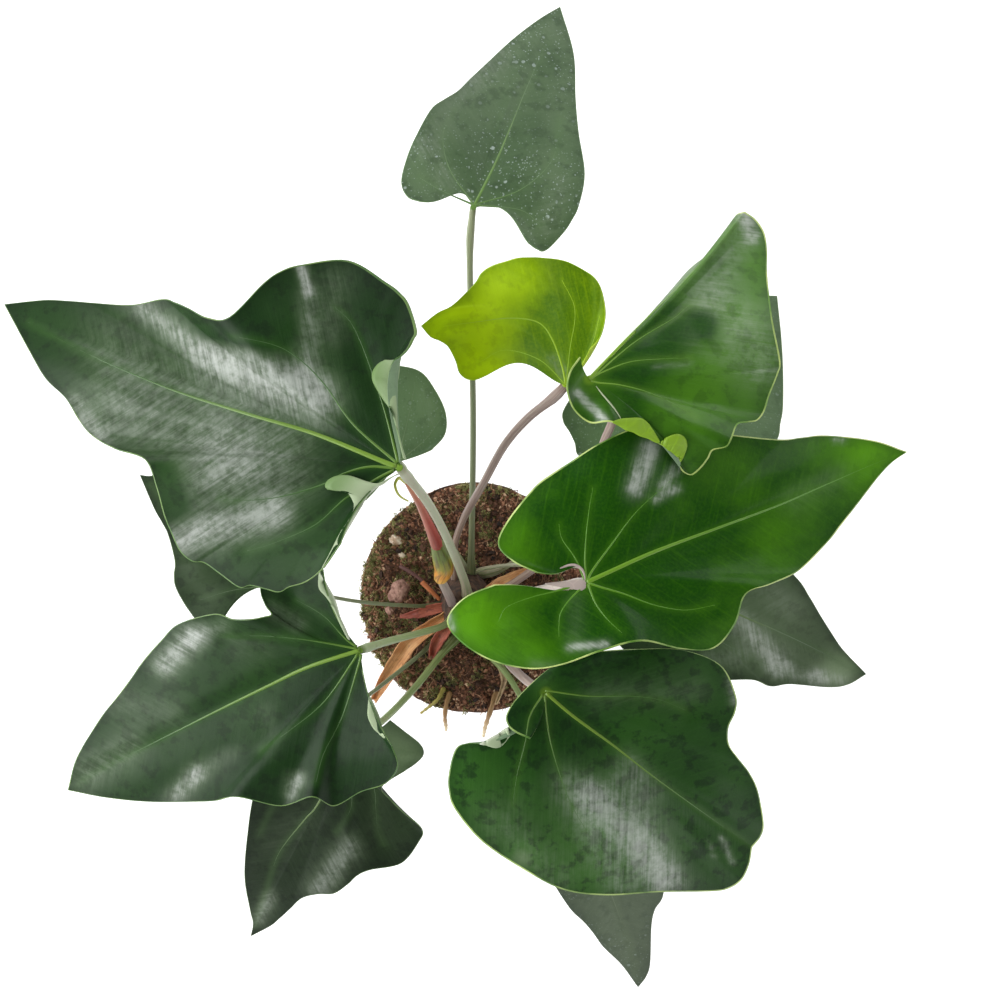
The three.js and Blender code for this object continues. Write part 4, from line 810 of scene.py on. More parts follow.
    def add_roll(self, shape, roll):
        """A strip from the fold at the blade's edge, up and over to its free edge."""
        rows, columns = ROLL_ROWS, ROLL_COLUMNS
        fold = [Vector((x, y, 0)) for x, y in roll["fold"]]
        free = [Vector((x, y, 0)) for x, y in roll["free"]]
        sheet, away = [], []
        for i in range(rows + 1):
            u = i / rows
            a, b = spline(fold, u), spline(free, u)
            foot, rest = self.drop(a.x, a.y), self.drop(b.x, b.y)
            swell = roll["lift"] * (0.25 + 0.75 * math.sin(math.pi * min(1, u * 1.15 + 0.08)))
            for j in range(columns + 1):
                v = j / columns
                turn = math.sin(v * math.pi / 2)
                p = a.lerp(b, v ** 1.5)
                base = foot + (rest - foot) * v
                z = base + swell * (turn * 0.9 + 0.25 * math.sin(v * math.pi))
                sheet.append(Vector((p.x, p.y, z)))
                away.append(min(1, (p - a).length / ROLL_GREENS + roll["green"]))
        at = lambda i, j: i * (columns + 1) + j
        faces = [(at(i, j), at(i + 1, j), at(i + 1, j + 1), at(i, j + 1))
                 for i in range(rows) for j in range(columns)]
        real = [place(p) for p in sheet]
        normals = sheet_normals(real, faces)
        if sum(n.z for n in normals) < 0:
            faces = [tuple(reversed(face)) for face in faces]
            normals = [-n for n in normals]
        rim = [at(0, j) for j in range(columns + 1)] + [at(i, columns) for i in range(1, rows + 1)]
        rim += [at(rows, j) for j in range(columns - 1, -1, -1)]
        rim += [at(i, 0) for i in range(rows - 1, 0, -1)]
        edge = MARGIN if self.leaf["look"] == "wet" else FLAP
        add_sheet(shape, real, normals, faces, rim, (FLAP, UPPER, edge), fade=away)


def sheet_normals(points, faces):
    """The direction that a sheet faces at each of its points."""
    normals = [Vector() for _ in points]
    for face in faces:
        a, b, c = (points[face[k]] for k in (0, 1, 2))
        normal = (b - a).cross(c - a)
        if len(face) == 4:
            normal = normal + (c - a).cross(points[face[3]] - a)
        for corner in face:
            normals[corner] += normal
    return [n.normalized() for n in normals]


def add_sheet(shape, points, normals, faces, rim, looks, **values):
    """A closed sheet, as thick as a blade: its upper face, lower face and the wall round its
    rim each have a look of their own."""
    base = len(shape.points)
    count = len(points)
    for side in (1, -1):
        for i, (p, n) in enumerate(zip(points, normals)):
            shape.point(p + n * (side * BLADE_THICKNESS / 2),
                        **{name: value[i] for name, value in values.items()})
    for face in faces:
        shape.face([base + i for i in face], looks[0])
        shape.face([base + count + i for i in reversed(face)], looks[1])
    first = faces[0]
    forward = any(first[k] == rim[0] and first[(k + 1) % len(first)] == rim[1]
                  for k in range(len(first)))
    ring = rim if forward else list(reversed(rim))
    for a, b in zip(ring, ring[1:] + ring[:1]):
        shape.face((base + b, base + a, base + count + a, base + count + b), looks[2])


# Finishes.

def paint(red, green, blue):
    """A colour read from 0 to 255, as the light it returns."""
    tones = []
    for value in (red, green, blue):
        v = value / 255
        tones.append(v / 12.92 if v <= 0.04045 else ((v + 0.055) / 1.055) ** 2.4)
    return (*tones, 1.0)


class Value:
    """A value in a finish, which can be written into sums."""

    def __init__(self, finish, socket):
        self.finish, self.socket = finish, socket

    def sum(self, operation, *values):
        return self.finish.node("ShaderNodeMath", {"operation": operation},
                                dict(enumerate(values)))

    def __add__(self, other):
        return self.sum("ADD", self, other)

    def __sub__(self, other):
        return self.sum("SUBTRACT", self, other)

    def __mul__(self, other):
        return self.sum("MULTIPLY", self, other)

    def __rsub__(self, other):
        return self.sum("SUBTRACT", other, self)

    __radd__ = __add__
    __rmul__ = __mul__


class Nodes:
    """The nodes of a finish or of the studio's sky."""

    def __init__(self, tree):
        self.tree = tree

    def node(self, kind, settings=None, values=None, output=0):
        """Any node: its settings first, then the values or links of its sockets."""
        node = self.tree.nodes.new(kind)
        for name, setting in (settings or {}).items():
            if name == "stops":
                ramp = node.color_ramp
                for extra in setting[2:]:
                    ramp.elements.new(extra[0])
                for element, (spot, colour) in zip(ramp.elements, sorted(setting)):
                    element.position, element.color = spot, colour
            else:
                setattr(node, name, setting)
        self.wire(node, values or {})
        return Value(self, node.outputs[output])

    def wire(self, node, values):
        for name, value in values.items():
            if isinstance(value, Value):
                self.tree.links.new(value.socket, node.inputs[name])
            else:
                node.inputs[name].default_value = value

    def step(self, value, low, high):
        """0 below low, 1 above high, smooth between; turned round where high is the lower."""
        return self.node("ShaderNodeMapRange", {"interpolation_type": "SMOOTHSTEP"},
                         {"Value": value, "From Min": low, "From Max": high})


class Finish(Nodes):
    """A finish built from nodes."""

    def __init__(self, name):
        self.material = bpy.data.materials.new(name)
        self.material.use_nodes = True
        super().__init__(self.material.node_tree)
        self.shader = self.tree.nodes["Principled BSDF"]

    def place(self):
        """Where a point of the piece lies, in metres."""
        return self.node("ShaderNodeTexCoord", output="Object")

    def known(self, name, output="Fac"):
        """A value that the piece's points carry."""
        return self.node("ShaderNodeAttribute", {"attribute_name": name}, output=output)

    def noise(self, scale, detail=2, where=None, roughness=0.5):
        values = {"Vector": where or self.place(), "Scale": scale, "Detail": detail,
                  "Roughness": roughness}
        return self.node("ShaderNodeTexNoise", values=values)

    def cells(self, scale, feature="F1"):
        values = {"Vector": self.place(), "Scale": scale}
        return self.node("ShaderNodeTexVoronoi", {"feature": feature}, values)

    def stretch(self, where, scale):
        return self.node("ShaderNodeMapping", values={"Vector": where, "Scale": scale})

    def lime(self, body, gloss, amount):
        """Dried drops of hard water: many specks, a few larger rings, thicker in patches."""
        patches = self.step(self.noise(26, 3), 0.42, 0.62)
        specks = self.step(self.cells(760), 0.34, 0.16) * self.step(self.noise(420, 2), 0.42, 0.58)
        drops = self.step(self.cells(260), 0.3, 0.18) * self.step(self.noise(150, 2), 0.54, 0.62)
        share = (specks * 0.6 + drops * 0.8) * (patches * 0.8 + 0.2) * amount
        return self.mix(share, body, paint(190, 205, 200)), gloss + share * 0.3

    def height(self):
        return self.node("ShaderNodeSeparateXYZ", values={"Vector": self.place()}, output="Z")

    def mix(self, share, first, second):
        settings = {"data_type": "RGBA", "clamp_factor": True}
        return self.node("ShaderNodeMix", settings, {0: share, 6: first, 7: second}, output=2)

    def bump(self, height, strength, distance, under=None):
        values = {"Height": height, "Strength": strength, "Distance": distance}
        if under:
            values["Normal"] = under
        return self.node("ShaderNodeBump", values=values)

    def surface(self, **values):
        """The finish itself: a value, colour or link for each socket of its shader."""
        names = {name: name.replace("_", " ").title().replace("Ior", "IOR") for name in values}
        self.wire(self.shader, {names[name]: value for name, value in values.items()})
        return self.material


def blade_finish(name, look):
    """The upper face of a blade: leaf green in tones, partly painted shade and painted light, dark
    mottles, and strokes of painted highlight, pale in the colour and with a heavier wax coat,
    that break up along the fine side veins."""
    f = Finish("leaf upper " + name)
    tone, halo, edge, sheen = (f.known(key) for key in ("tone", "halo", "edge", "sheen"))
    cloud, mottle, fine = f.noise(38, 3), f.noise(150, 4, roughness=0.62), f.noise(900, 2)
    grain = f.known("grain", "Vector")
    streak = f.noise(1, 4, f.stretch(grain, (0.42, 0.035, 1)), 0.65)
    # Tones: the leaf's own deeper and fresher greens, with patches of painted shade and painted
    # light.
    body = f.mix(tone * 0.8 + (cloud - 0.5) * 1.2 + 0.3, paint(*look["deep"]),
                 paint(*look["fresh"]))
    body = f.mix(f.step(mottle, 0.5, 0.62) * look["mottle"], body, paint(*look["dark"]))
    body = f.mix(f.step(streak, 0.5, 0.72) * 0.14, body, paint(*look["fresh"]))
    # The strongest tones turn pale: the leaf's own paler tissue, and a painted sheen in places.
    body = f.mix(f.step(tone, 1.1, 3.0), body, paint(*PALE_TISSUE_AND_SHEEN))
    body = f.mix(halo * 0.3, body, paint(*look["side"]))
    body = f.mix(f.step(halo, 0.95, 1.4) * 0.5, body, paint(*look["vein"]))
    body = f.mix(edge * 0.3, body, paint(*look["dark"]))
    body = f.mix(f.step(fine, 0.3, 0.8) * 0.1, body, paint(*look["fresh"]))
    # The painted highlight strokes: a pale haze painted into the colour, greenish where weak and
    # nearly white where strong, with the wax coat heavier there too.
    highlight_and_wax = sheen * (f.step(streak, 0.3, 0.65) * 0.4 + f.step(mottle, 0.66, 0.4) * 0.2 + 0.46)
    highlight_and_wax = highlight_and_wax * (f.step(f.noise(320, 3, roughness=0.65), 0.3, 0.6) * 0.3 + 0.75)
    painted_haze = f.mix(f.step(highlight_and_wax, 0.1, 0.9), paint(126, 146, 112), paint(192, 198, 190))
    body = f.mix(highlight_and_wax * look["painted_haze"] * 1.15, body, painted_haze)
    gloss = f.step(mottle, 0.35, 0.65) * 0.1 + look["gloss"]
    if name in ("limed", "sage", "grey"):
        body, gloss = f.lime(body, gloss, 0.85 if name == "limed" else 0.3)
    ridges = f.bump(streak, 0.3, 0.0006)
    return f.surface(base_color=body, roughness=gloss, specular_ior_level=look["shine"],
                     coat_weight=highlight_and_wax * 0.4 + look["coat"], coat_ior=1.6,
                     coat_roughness=look["wax"], normal=f.bump(fine, 0.14, 0.0003, ridges))


def underside_finish(name, colour):
    """The lower face of a blade: plain and satin, with a faint net of veins."""
    f = Finish("leaf underside " + name)
    cloud = f.noise(60, 3)
    body = f.mix(cloud, paint(*[v * 0.86 for v in colour]), paint(*colour))
    net = f.step(f.cells(160, "DISTANCE_TO_EDGE"), 0.08, 0.0) * 0.18
    body = f.mix(net, body, paint(*[min(255, v * 1.12) for v in colour]))
    return f.surface(base_color=body, roughness=cloud * 0.1 + 0.5,
                     normal=f.bump(net, 0.3, 0.0003))


def roll_finish(name):
    """The underside where it shows: nearly white along the fold, partly a painted highlight, greener
    away from it.
    """
    f = Finish("leaf turned edge " + name)
    away, cloud = f.known("fade"), f.noise(70, 3)
    body = f.mix(f.step(away, 0.0, 0.07), paint(*ROLLED_WITH_FOLD_HIGHLIGHT["fold"]), paint(*ROLLED_WITH_FOLD_HIGHLIGHT["pale"]))
    body = f.mix(f.step(away + (cloud - 0.5) * 0.3, 0.1, 0.85), body, paint(*ROLLED_WITH_FOLD_HIGHLIGHT["free"]))
    return f.surface(base_color=body, roughness=cloud * 0.1 + 0.5,
                     normal=f.bump(f.noise(400, 2), 0.15, 0.0003))


def margin_finish(name, look):
    """The pale rim of a blade."""
    f = Finish("leaf margin " + name)
    body = f.mix(f.step(f.noise(90, 2), 0.3, 0.7), paint(*look["side"]), paint(*look["margin"]))
    return f.surface(base_color=body, roughness=0.38)


def vein_finish(name, look):
    """Veins, bright at the hub and as green as the blade at their ends."""
    f = Finish("leaf veins " + name)
    fade = f.known("fade")
    body = f.mix(f.step(fade, 0.0, 0.75), paint(*look["fresh"]), paint(*look["side"]))
    body = f.mix(f.step(fade, 0.45, 1.0), body, paint(*look["vein"]))
    body = f.mix(f.noise(500, 2) * 0.2, body, paint(*look["side"]))
    return f.surface(base_color=body, roughness=0.36)


def leaf_finishes(name):
    """The finishes of a leaf: upper face, lower face, margin, veins, turned edge and cuff."""
    look = LOOKS[name]
    if name in ("dark", "wet", "bright", "mottled"):
        pale = UNDERSIDES["soft"]
    else:
        pale = [v * 0.75 + 36 for v in look["fresh"]]
    upper, below = blade_finish(name, look), underside_finish(name + " below", pale)
    margin, veins = margin_finish(name, look), vein_finish(name, look)
    if name == "wet":
        flap = underside_finish(name + " hem", UNDERSIDES["lime"])
    else:
        flap = roll_finish(name)
    cuff = UNDERSIDES["rim" if name == "wet" else "pearl"]
    return [upper, below, margin, veins, flap, underside_finish(name + " cuff", cuff)]


FINISHES = {name: leaf_finishes(name) for name in LOOKS}
for key, leaf in LEAVES.items():
    blade = Blade(key, leaf)
    hand_over(blade.make(FINISHES[leaf["look"]]), leaf["slot"], "leaf_" + key)


# Stalks.

def lengthwise(f, fine, detail=3):
    """Fine lines that run along a rod: they change fast round it and slowly along it."""
    where = f.node("ShaderNodeCombineXYZ", values={
        "X": f.known("around") * fine, "Y": f.known("along") * 3})
    return f.noise(1, detail, where, 0.6)


def stalk_finish(name, foot, middle, top, streaks, painted_shade):
    """Green at the foot, paler up the stalk, ribbed lengthwise, and darker on its right, a painted
    shade.
    """
    f = Finish("stalk " + name)
    along, lines = f.known("along"), lengthwise(f, 3.2)
    body = f.mix(f.step(along, 0.0, 0.35), paint(*foot), paint(*middle))
    body = f.mix(f.step(along, 0.55, 1.0), body, paint(*top))
    # Painted shade: the stalk's right side is painted darker.
    body = f.mix(f.step(f.known("around"), 0.0, 0.9) * 0.7, body, paint(*painted_shade))
    body = f.mix(f.step(lines, 0.45, 0.6) * 0.6, body, paint(*streaks))
    body = f.mix(f.step(f.noise(240, 2), 0.64, 0.72) * 0.3, body, paint(120, 96, 70))
    return f.surface(base_color=body, roughness=f.noise(120, 2) * 0.2 + 0.36,
                     specular_ior_level=0.3, coat_weight=0.1, coat_roughness=0.3,
                     normal=f.bump(lines, 0.3, 0.0004))


# The last colour of each stalk is the painted shade on its right.
STALK_FINISHES = {
    "sage": stalk_finish("sage", (112, 122, 80), (160, 168, 140), (166, 174, 142),
                         (172, 150, 138), (138, 148, 114)),
    "green": stalk_finish("green", (100, 112, 56), (120, 140, 84), (138, 158, 104),
                          (146, 156, 112), (94, 116, 60)),
    "olive": stalk_finish("olive", (84, 92, 58), (118, 130, 98), (160, 168, 138),
                          (128, 130, 96), (92, 98, 64)),
    "mauve": stalk_finish("mauve", (120, 94, 80), (132, 110, 102), (140, 116, 108),
                          (166, 152, 138), (112, 92, 86)),
    "pearl": stalk_finish("pearl", (118, 104, 88), (172, 156, 152), (186, 172, 164),
                          (150, 150, 128), (150, 134, 128)),
}

# Stalks: finish, radius at the foot and at the top, and the route up to the hub.
STALKS = {
    "01": ("sage", 2.2, 1.9, [(-3, -1, 112), (-5, 9, 146), (-14, 31, 206), (-24, 49, 268)]),
    "02": ("green", 1.6, 1.7, [(-11, -11, 110), (-17, -14.5, 142), (-29, -18, 192),
                               (-44, -22, 246)]),
    "03": ("green", 1.7, 1.6, [(-8, -19, 107), (-17, -29, 120), (-28, -43, 152),
                               (-41, -57, 190), (-53, -67, 214)]),
    "04": ("olive", 1.5, 1.35, [(-1.6, 9, 108), (-1.2, 30, 132), (-0.4, 90, 184),
                                (-1.8, 150, 231), (-2, 178, 247)]),
    "05": ("mauve", 1.6, 2.0, [(-9, 8, 109), (-10, 24, 136), (-5.5, 39, 162), (4.5, 57, 204),
                               (15, 76, 236), (26.5, 89.5, 258), (39, 99.5, 282)]),
    "06": ("mauve", 1.8, 1.8, [(6, 0, 109), (19, 7, 136), (38, 22, 190), (54, 48, 248),
                               (65, 78, 296), (69, 92, 321)]),
    "07": ("pearl", 2.0, 1.9, [(2, -3, 114), (8, -2, 142), (20, 1, 200), (38, 5, 276)]),
    "08": ("mauve", 2.0, 1.9, [(2, -10, 112), (8, -18, 142), (16, -31, 202), (26, -41, 268)]),
    "09": ("sage", 0.8, 1.4, [(-2, 12, 107), (6, 15, 122), (22, 16.5, 141), (54, 16, 186)]),
    "10": ("green", 1.5, 1.4, [(-1, -19, 106), (7, -28, 116), (17, -39, 134), (27, -56, 162)]),
    "11": ("sage", 1.1, 1.6, [(3, 11.5, 104), (14, 14.5, 110), (31, 28, 134), (56, 64, 192)]),
    "12": ("olive", 0.95, 0.9, [(-14, -3, 105), (-28, -4, 116), (-56, -2, 150), (-78, 2, 182)]),
    "13": ("sage", 1.5, 1.5, [(-5, 14, 104), (-10, 24, 118), (-18, 40, 152), (-29, 56, 202)]),
    "14": ("olive", 1.1, 1.0, [(-14, -15, 105), (-25, -26.5, 112), (-41, -39.5, 132),
                               (-54, -49.5, 160)]),
}
STALK_SLOTS = {"sage": "stalk_sage", "green": "stalk_green", "olive": "stalk_green",
               "mauve": "stalk_mauve", "pearl": "stalk_mauve"}


def rod(name, route, radii, finish, steps=36):
    """A round rod of changing thickness along a smooth route, swept from a curve. Its points
    know how far along it they lie, and how far round to its right."""
    points = curve_points([place(Vector(p)) for p in route], steps)
    curve = start(bpy.ops.curve.primitive_nurbs_path_add, name, location=(0, 0, 0)).data
    curve.splines.clear()
    path = curve.splines.new("POLY")
    path.points.add(len(points) - 1)
    for i, (knot, p) in enumerate(zip(path.points, points)):
        knot.co = (*(p * MM), 1)
        knot.radius = radii(i / steps)
    curve.dimensions = "3D"
    curve.bevel_depth = MM
    curve.bevel_resolution = 3
    curve.use_fill_caps = True
    bpy.ops.object.convert(target="MESH")
    thing = bpy.context.object
    thing.name = thing.data.name = name
    bpy.ops.object.mode_set(mode="EDIT")
    bpy.ops.mesh.select_all(action="SELECT")
    bpy.ops.mesh.remove_doubles(threshold=1e-6)
    bpy.ops.mesh.normals_make_consistent(inside=False)
    bpy.ops.object.mode_set(mode="OBJECT")
    bpy.ops.object.shade_smooth()
    thing.data.materials.clear()
    thing.data.materials.append(finish)
    marks = kdtree.KDTree(len(points))
    for i, p in enumerate(points):
        marks.insert(p * MM, i)
    marks.balance()
    along, around = [], []
    for vertex in thing.data.vertices:
        centre, i, _ = marks.find(vertex.co)
        ahead = points[min(i + 1, steps)] - points[max(i - 1, 0)]
        right = Vector((ahead.y, -ahead.x, 0)).normalized()
        if right.x < 0:
            right = -right
        out = vertex.co - centre
        along.append(i / steps)
        around.append(out.normalized().dot(right) if out.length > 1e-7 else 0.0)
    for mark, row in (("along", along), ("around", around)):
        thing.data.attributes.new(mark, "FLOAT", "POINT").data.foreach_set("value", row)
    return thing


BELOW_THE_BLADE = 1.2


def stalk_radius(foot, top):
    """The radius along a stalk: it clasps the crown and swells a little below the blade."""
    return lambda u: (foot + (top - foot) * u + 1.1 * math.exp(-(u / 0.07) ** 2)
                      + 0.45 * math.exp(-((u - 0.93) / 0.04) ** 2))


for key, (finish, foot, top, route) in STALKS.items():
    hub = LEAVES[key]["hub"]
    end = (hub[0], hub[1], hub[2] - BELOW_THE_BLADE)
    stalk = rod("petiole_" + key, route + [end], stalk_radius(foot, top), STALK_FINISHES[finish])
    hand_over(stalk, STALK_SLOTS[finish], "stalk_" + key)


# New shoot.

def tinted_finish(name, colours, heights, roughness=0.4, grain=0.3, stain=(70, 44, 26),
                  left_painted_light=0.0):
    """Plant tissue whose colour changes with height, with lengthwise fibres and stains, and a
    painted light that makes it paler and pinker on its left."""
    f = Finish(name)
    z = f.height() + f.noise(160, 2) * 0.006 - 0.003
    body = paint(*colours[0])
    for colour, low, high in zip(colours[1:], heights, heights[1:]):
        body = f.mix(f.step(z, low * MM, high * MM), body, paint(*colour))
    # Painted light: the left side is painted paler and pinker.
    body = f.mix(f.step(f.known("around"), 0.2, -0.9) * left_painted_light, body, paint(186, 150, 130))
    lines = lengthwise(f, 4)
    body = f.mix(f.step(lines, 0.45, 0.62) * grain, body, paint(*stain))
    return f.surface(base_color=body, roughness=f.noise(300, 2) * 0.2 + roughness - 0.1,
                     specular_ior_level=0.25, coat_weight=0.06, coat_roughness=0.25,
                     normal=f.bump(lines, 0.3, 0.0003))


SHOOT = {
    "stem": ([(-10, -5, 112), (-12, 0, 126), (-15, 6, 138), (-17, 10, 147)],
             lambda u: 2.1 + 0.5 * (1 - u) ** 2,
             tinted_finish("shoot stem", [(120, 96, 84), (150, 136, 132), (170, 158, 150)],
                           [112, 128, 142], stain=(112, 92, 92))),
    "joint": ([(-17, 9, 145.5), (-15, 15, 154), (-16.5, 22, 164), (-19, 28.5, 175)],
              lambda u: 2.6 + 2.3 * math.sin(math.pi * u ** 0.8) ** 0.8,
              tinted_finish("shoot joint", [(230, 178, 84), (212, 142, 44), (148, 142, 48),
                                            (104, 120, 46)], [149, 154, 161, 168], 0.35, 0.6)),
    # The sheath's last value is the painted light on its left.
    "sheath": ([(-18.5, 26.5, 172.5), (-22.5, 36.5, 193), (-27.5, 47, 215), (-34.5, 58, 239)],
               lambda u: 2.5 * (1 - u) ** 0.9 + 0.5,
               tinted_finish("shoot sheath", [(150, 40, 26), (162, 54, 36), (160, 84, 62),
                                              (186, 116, 80)], [176, 196, 216, 234], 0.45, 0.3,
                             (104, 36, 28), 0.35)),
    "thread": ([(-34.5, 58, 238.5), (-37.5, 60, 244), (-39.5, 57, 247), (-38.5, 53, 245),
                (-36.5, 50.5, 241), (-33, 48.5, 236)],
               lambda u: 0.85 - 0.45 * u,
               tinted_finish("shoot thread", [(190, 196, 96), (182, 190, 84)], [236, 247],
                             stain=(196, 128, 60))),
}
for part, (route, radii, finish) in SHOOT.items():
    hand_over(rod("shoot_" + part + "_skin", route, radii, finish, 30), "shoot_" + part,
              "shoot_" + part)


# Dry sheaths and rootlets.

def dry_finish(name, colours):
    """Papery dead tissue: stained, veined lengthwise, darker where it has torn."""
    f = Finish(name)
    cloud = f.noise(130, 4, roughness=0.6)
    body = f.mix(f.step(cloud, 0.35, 0.65), paint(*colours[0]), paint(*colours[1]))
    lines = f.noise(1, 3, f.stretch(f.known("grain", "Vector"), (1.6, 0.09, 1)), 0.6)
    body = f.mix(f.step(lines, 0.45, 0.65) * 0.45, body, paint(*colours[2]))
    body = f.mix(f.step(f.noise(420, 2), 0.6, 0.72) * 0.5, body, paint(*colours[2]))
    return f.surface(base_color=body, roughness=cloud * 0.2 + 0.5,
                     normal=f.bump(lines, 0.6, 0.0004))


DRY_TAN = dry_finish("dry tan sheath", [(192, 128, 76), (210, 158, 106), (132, 82, 50)])
DRY_RED = dry_finish("dry red sheath", [(134, 58, 42), (166, 86, 62), (80, 32, 26)])
DRY_GREY = dry_finish("dry grey sheath", [(150, 124, 90), (186, 160, 120), (92, 70, 50)])

# Dry sheaths: finish, half width, how far the edges curl up, and the route out of the crown.
DRY_SHEATHS = {
    "long": (DRY_TAN, 4.5, 2.2, [(-13, -8, 114), (-21, -14, 113.5), (-31.5, -22, 112),
                                 (-38, -31, 110.5), (-44, -40, 109.5), (-50, -51, 105)]),
    "tip": (DRY_RED, 3.8, 1.8, [(-13, -4, 113.5), (-20, -5.5, 113), (-29, -8, 111.5),
                                (-37, -9.5, 109)]),
    "red": (DRY_RED, 3.2, 1.8, [(-10, -11, 119), (-15, -17, 118.5), (-19, -23, 116.5),
                                (-21, -29, 113.5)]),
    "orange": (DRY_TAN, 2.9, 1.6, [(4, 2, 119), (12, 7.5, 113.5), (21, 12, 110.5),
                                   (29, 15, 108)]),
    "tan": (DRY_GREY, 2.3, 1.2, [(6, -18, 110), (11, -29, 109), (15, -41, 108), (11, -53, 107)]),
}


def ribbon(name, finish, half, cup, route, seed):
    """A curled, tapering dry sheath, shaped from a flat grid."""
    rows, columns = 44, 12
    path = curve_points([place(Vector(p)) for p in route], rows)
    twist = random.Random(seed).uniform(-0.5, 0.5)
    thing = start(bpy.ops.mesh.primitive_grid_add, name, x_subdivisions=rows,
                  y_subdivisions=columns, size=2, location=(0, 0, 0))
    grain = []
    for vertex in thing.data.vertices:
        u, v = (vertex.co.x + 1) / 2, vertex.co.y
        i = min(int(round(u * rows)), rows)
        ahead = (path[min(i + 1, rows)] - path[max(i - 1, 0)]).normalized()
        side = Vector((0, 0, 1)).cross(ahead).normalized()
        up = ahead.cross(side)
        frayed = 1 + 0.16 * noise.noise(Vector((u * 9, v * 2, seed * 7.0)))
        width = half * (0.3 + 0.7 * math.sin(math.pi * (0.14 + 0.84 * u))) * frayed
        curl = v * (0.9 + twist * u)
        offset = side * (width * math.sin(curl)) + up * (cup * (1 - math.cos(curl * 1.5)))
        wave = up * (0.5 * noise.noise(Vector((u * 6, v * 1.5, seed * 3.0))))
        vertex.co = (path[i] + offset + wave) * MM
        grain += [v * width, u * 60, 0.0]
    layer = thing.data.attributes.new("grain", "FLOAT_VECTOR", "POINT")
    layer.data.foreach_set("vector", grain)
    thing.data.materials.append(finish)
    wall = thing.modifiers.new("wall", "SOLIDIFY")
    wall.thickness, wall.offset = 0.45 * MM, 0
    bpy.ops.object.modifier_apply(modifier="wall")
    bpy.ops.object.shade_smooth()
    return thing


for seed, (part, (finish, half, cup, route)) in enumerate(DRY_SHEATHS.items()):
    skin = ribbon("dry_" + part, finish, half, cup, route, seed)
    hand_over(skin, "dry_sheath_red" if part in ("tip", "red") else "dry_sheath",
              "dry_sheath_" + part)

ROOTLETS = {
    "green": ([(-15, -45, 103), (-18, -50.5, 106), (-22, -54, 104.5), (-26.5, -57.5, 99)], 1.1,
              [(128, 122, 60), (176, 160, 90), (150, 140, 70)]),
    "tan": ([(-12, -47, 103), (-14, -54, 106), (-14.5, -60, 102), (-14, -64, 88),
             (-14, -66, 72)], 1.2, [(214, 196, 156), (176, 148, 104), (150, 116, 76)]),
    "cream": ([(11, -47, 103), (9, -54, 106), (7, -60, 102), (5.5, -65, 88), (4.8, -69, 68)],
              1.35, [(216, 196, 156), (186, 158, 116), (150, 118, 80)]),
}
for part, (route, radius, colours) in ROOTLETS.items():
    finish = tinted_finish("rootlet " + part, colours, [80, 96, 104], 0.6)
    knobbly = lambda u, r=radius: r * (1 - 0.45 * u) * (1 + 0.14 * math.sin(u * 34))
    hand_over(rod("root_" + part, route, knobbly, finish, 40), "rootlet", "rootlet_" + part)


# Crown, peat and moss.

def peat_height(x, y):
    """The height of the mounded peat, with its hollows and swellings."""
    r = math.hypot(x, y)
    broad = math.sin(x * 0.16 + 1.3) * math.cos(y * 0.13 - 0.4)
    close = math.sin(x * 0.37 - y * 0.29) * math.cos(x * 0.21 + y * 0.41)
    rough = noise.noise(Vector((x / 7, y / 7, 2))) + 0.6 * noise.noise(Vector((x / 3, y / 3, 5)))
    return 104 + 0.9 * broad + 0.7 * close - 1.6 * (r / 55.5) ** 3 + 0.9 * rough


def peat_edge(angle):
    """How far the mossy rim reaches out over the pot's edge."""
    swell = 0.4 * math.sin(5 * angle) - 0.7 * math.cos(2 * angle)
    return 56.9 + swell + 0.5 * noise.noise(Vector((math.cos(angle), math.sin(angle), 0)) * 9)


def peat_finish():
    f = Finish("peat")
    lump, fine = f.noise(170, 4, roughness=0.65), f.noise(700, 4, roughness=0.7)
    body = f.node("ShaderNodeValToRGB", {"stops": [
        (0.3, paint(34, 22, 16)), (0.72, paint(142, 104, 80)), (0.42, paint(70, 47, 34)),
        (0.58, paint(108, 74, 54))]}, {"Fac": lump * 0.5 + fine * 0.5})
    moss = f.step(f.noise(60, 3), 0.5, 0.6) * f.step(fine, 0.42, 0.6)
    body = f.mix(moss * 0.6, body, paint(66, 66, 26))
    return f.surface(base_color=body, roughness=0.92,
                     normal=f.bump(fine + lump, 0.9, 0.0012))


# The peat: a disc over the pot's rim, and a plug that goes down inside the pot's wall.
PEAT_DISC_RADIUS = 56
PEAT_DISC_FOOT = 90
PEAT_DISC_TOP = 103
PEAT_PLUG_FOOT = 2.8
PEAT_PLUG_RADIUS = 40.7
PEAT_NECK_RADIUS = 51.6
PEAT_NECK_HEIGHT = 98
PEAT_RIM_HEIGHT = 100.6
PEAT_FADE_START = 50

peat = start(bpy.ops.mesh.primitive_cylinder_add, "peat_plug", vertices=144,
             radius=PEAT_DISC_RADIUS * MM, depth=(PEAT_DISC_TOP - PEAT_DISC_FOOT) * MM,
             location=(0, 0, (PEAT_DISC_TOP + PEAT_DISC_FOOT) / 2 * MM))
bpy.ops.object.transform_apply()
bpy.ops.object.mode_set(mode="EDIT")
bpy.ops.mesh.select_all(action="DESELECT")
bpy.ops.object.mode_set(mode="OBJECT")
for face in peat.data.polygons:
    face.select = face.normal.z < -0.9
bpy.ops.object.mode_set(mode="EDIT")
bpy.ops.mesh.extrude_region_move(TRANSFORM_OT_translate={"value": (0, 0, -88 * MM)})
bpy.ops.mesh.select_all(action="DESELECT")
bpy.ops.object.mode_set(mode="OBJECT")
for face in peat.data.polygons:
    face.select = face.normal.z > 0.9
bpy.ops.object.mode_set(mode="EDIT")
for _ in range(30):
    bpy.ops.mesh.inset(thickness=1.8 * MM)
bpy.ops.object.mode_set(mode="OBJECT")
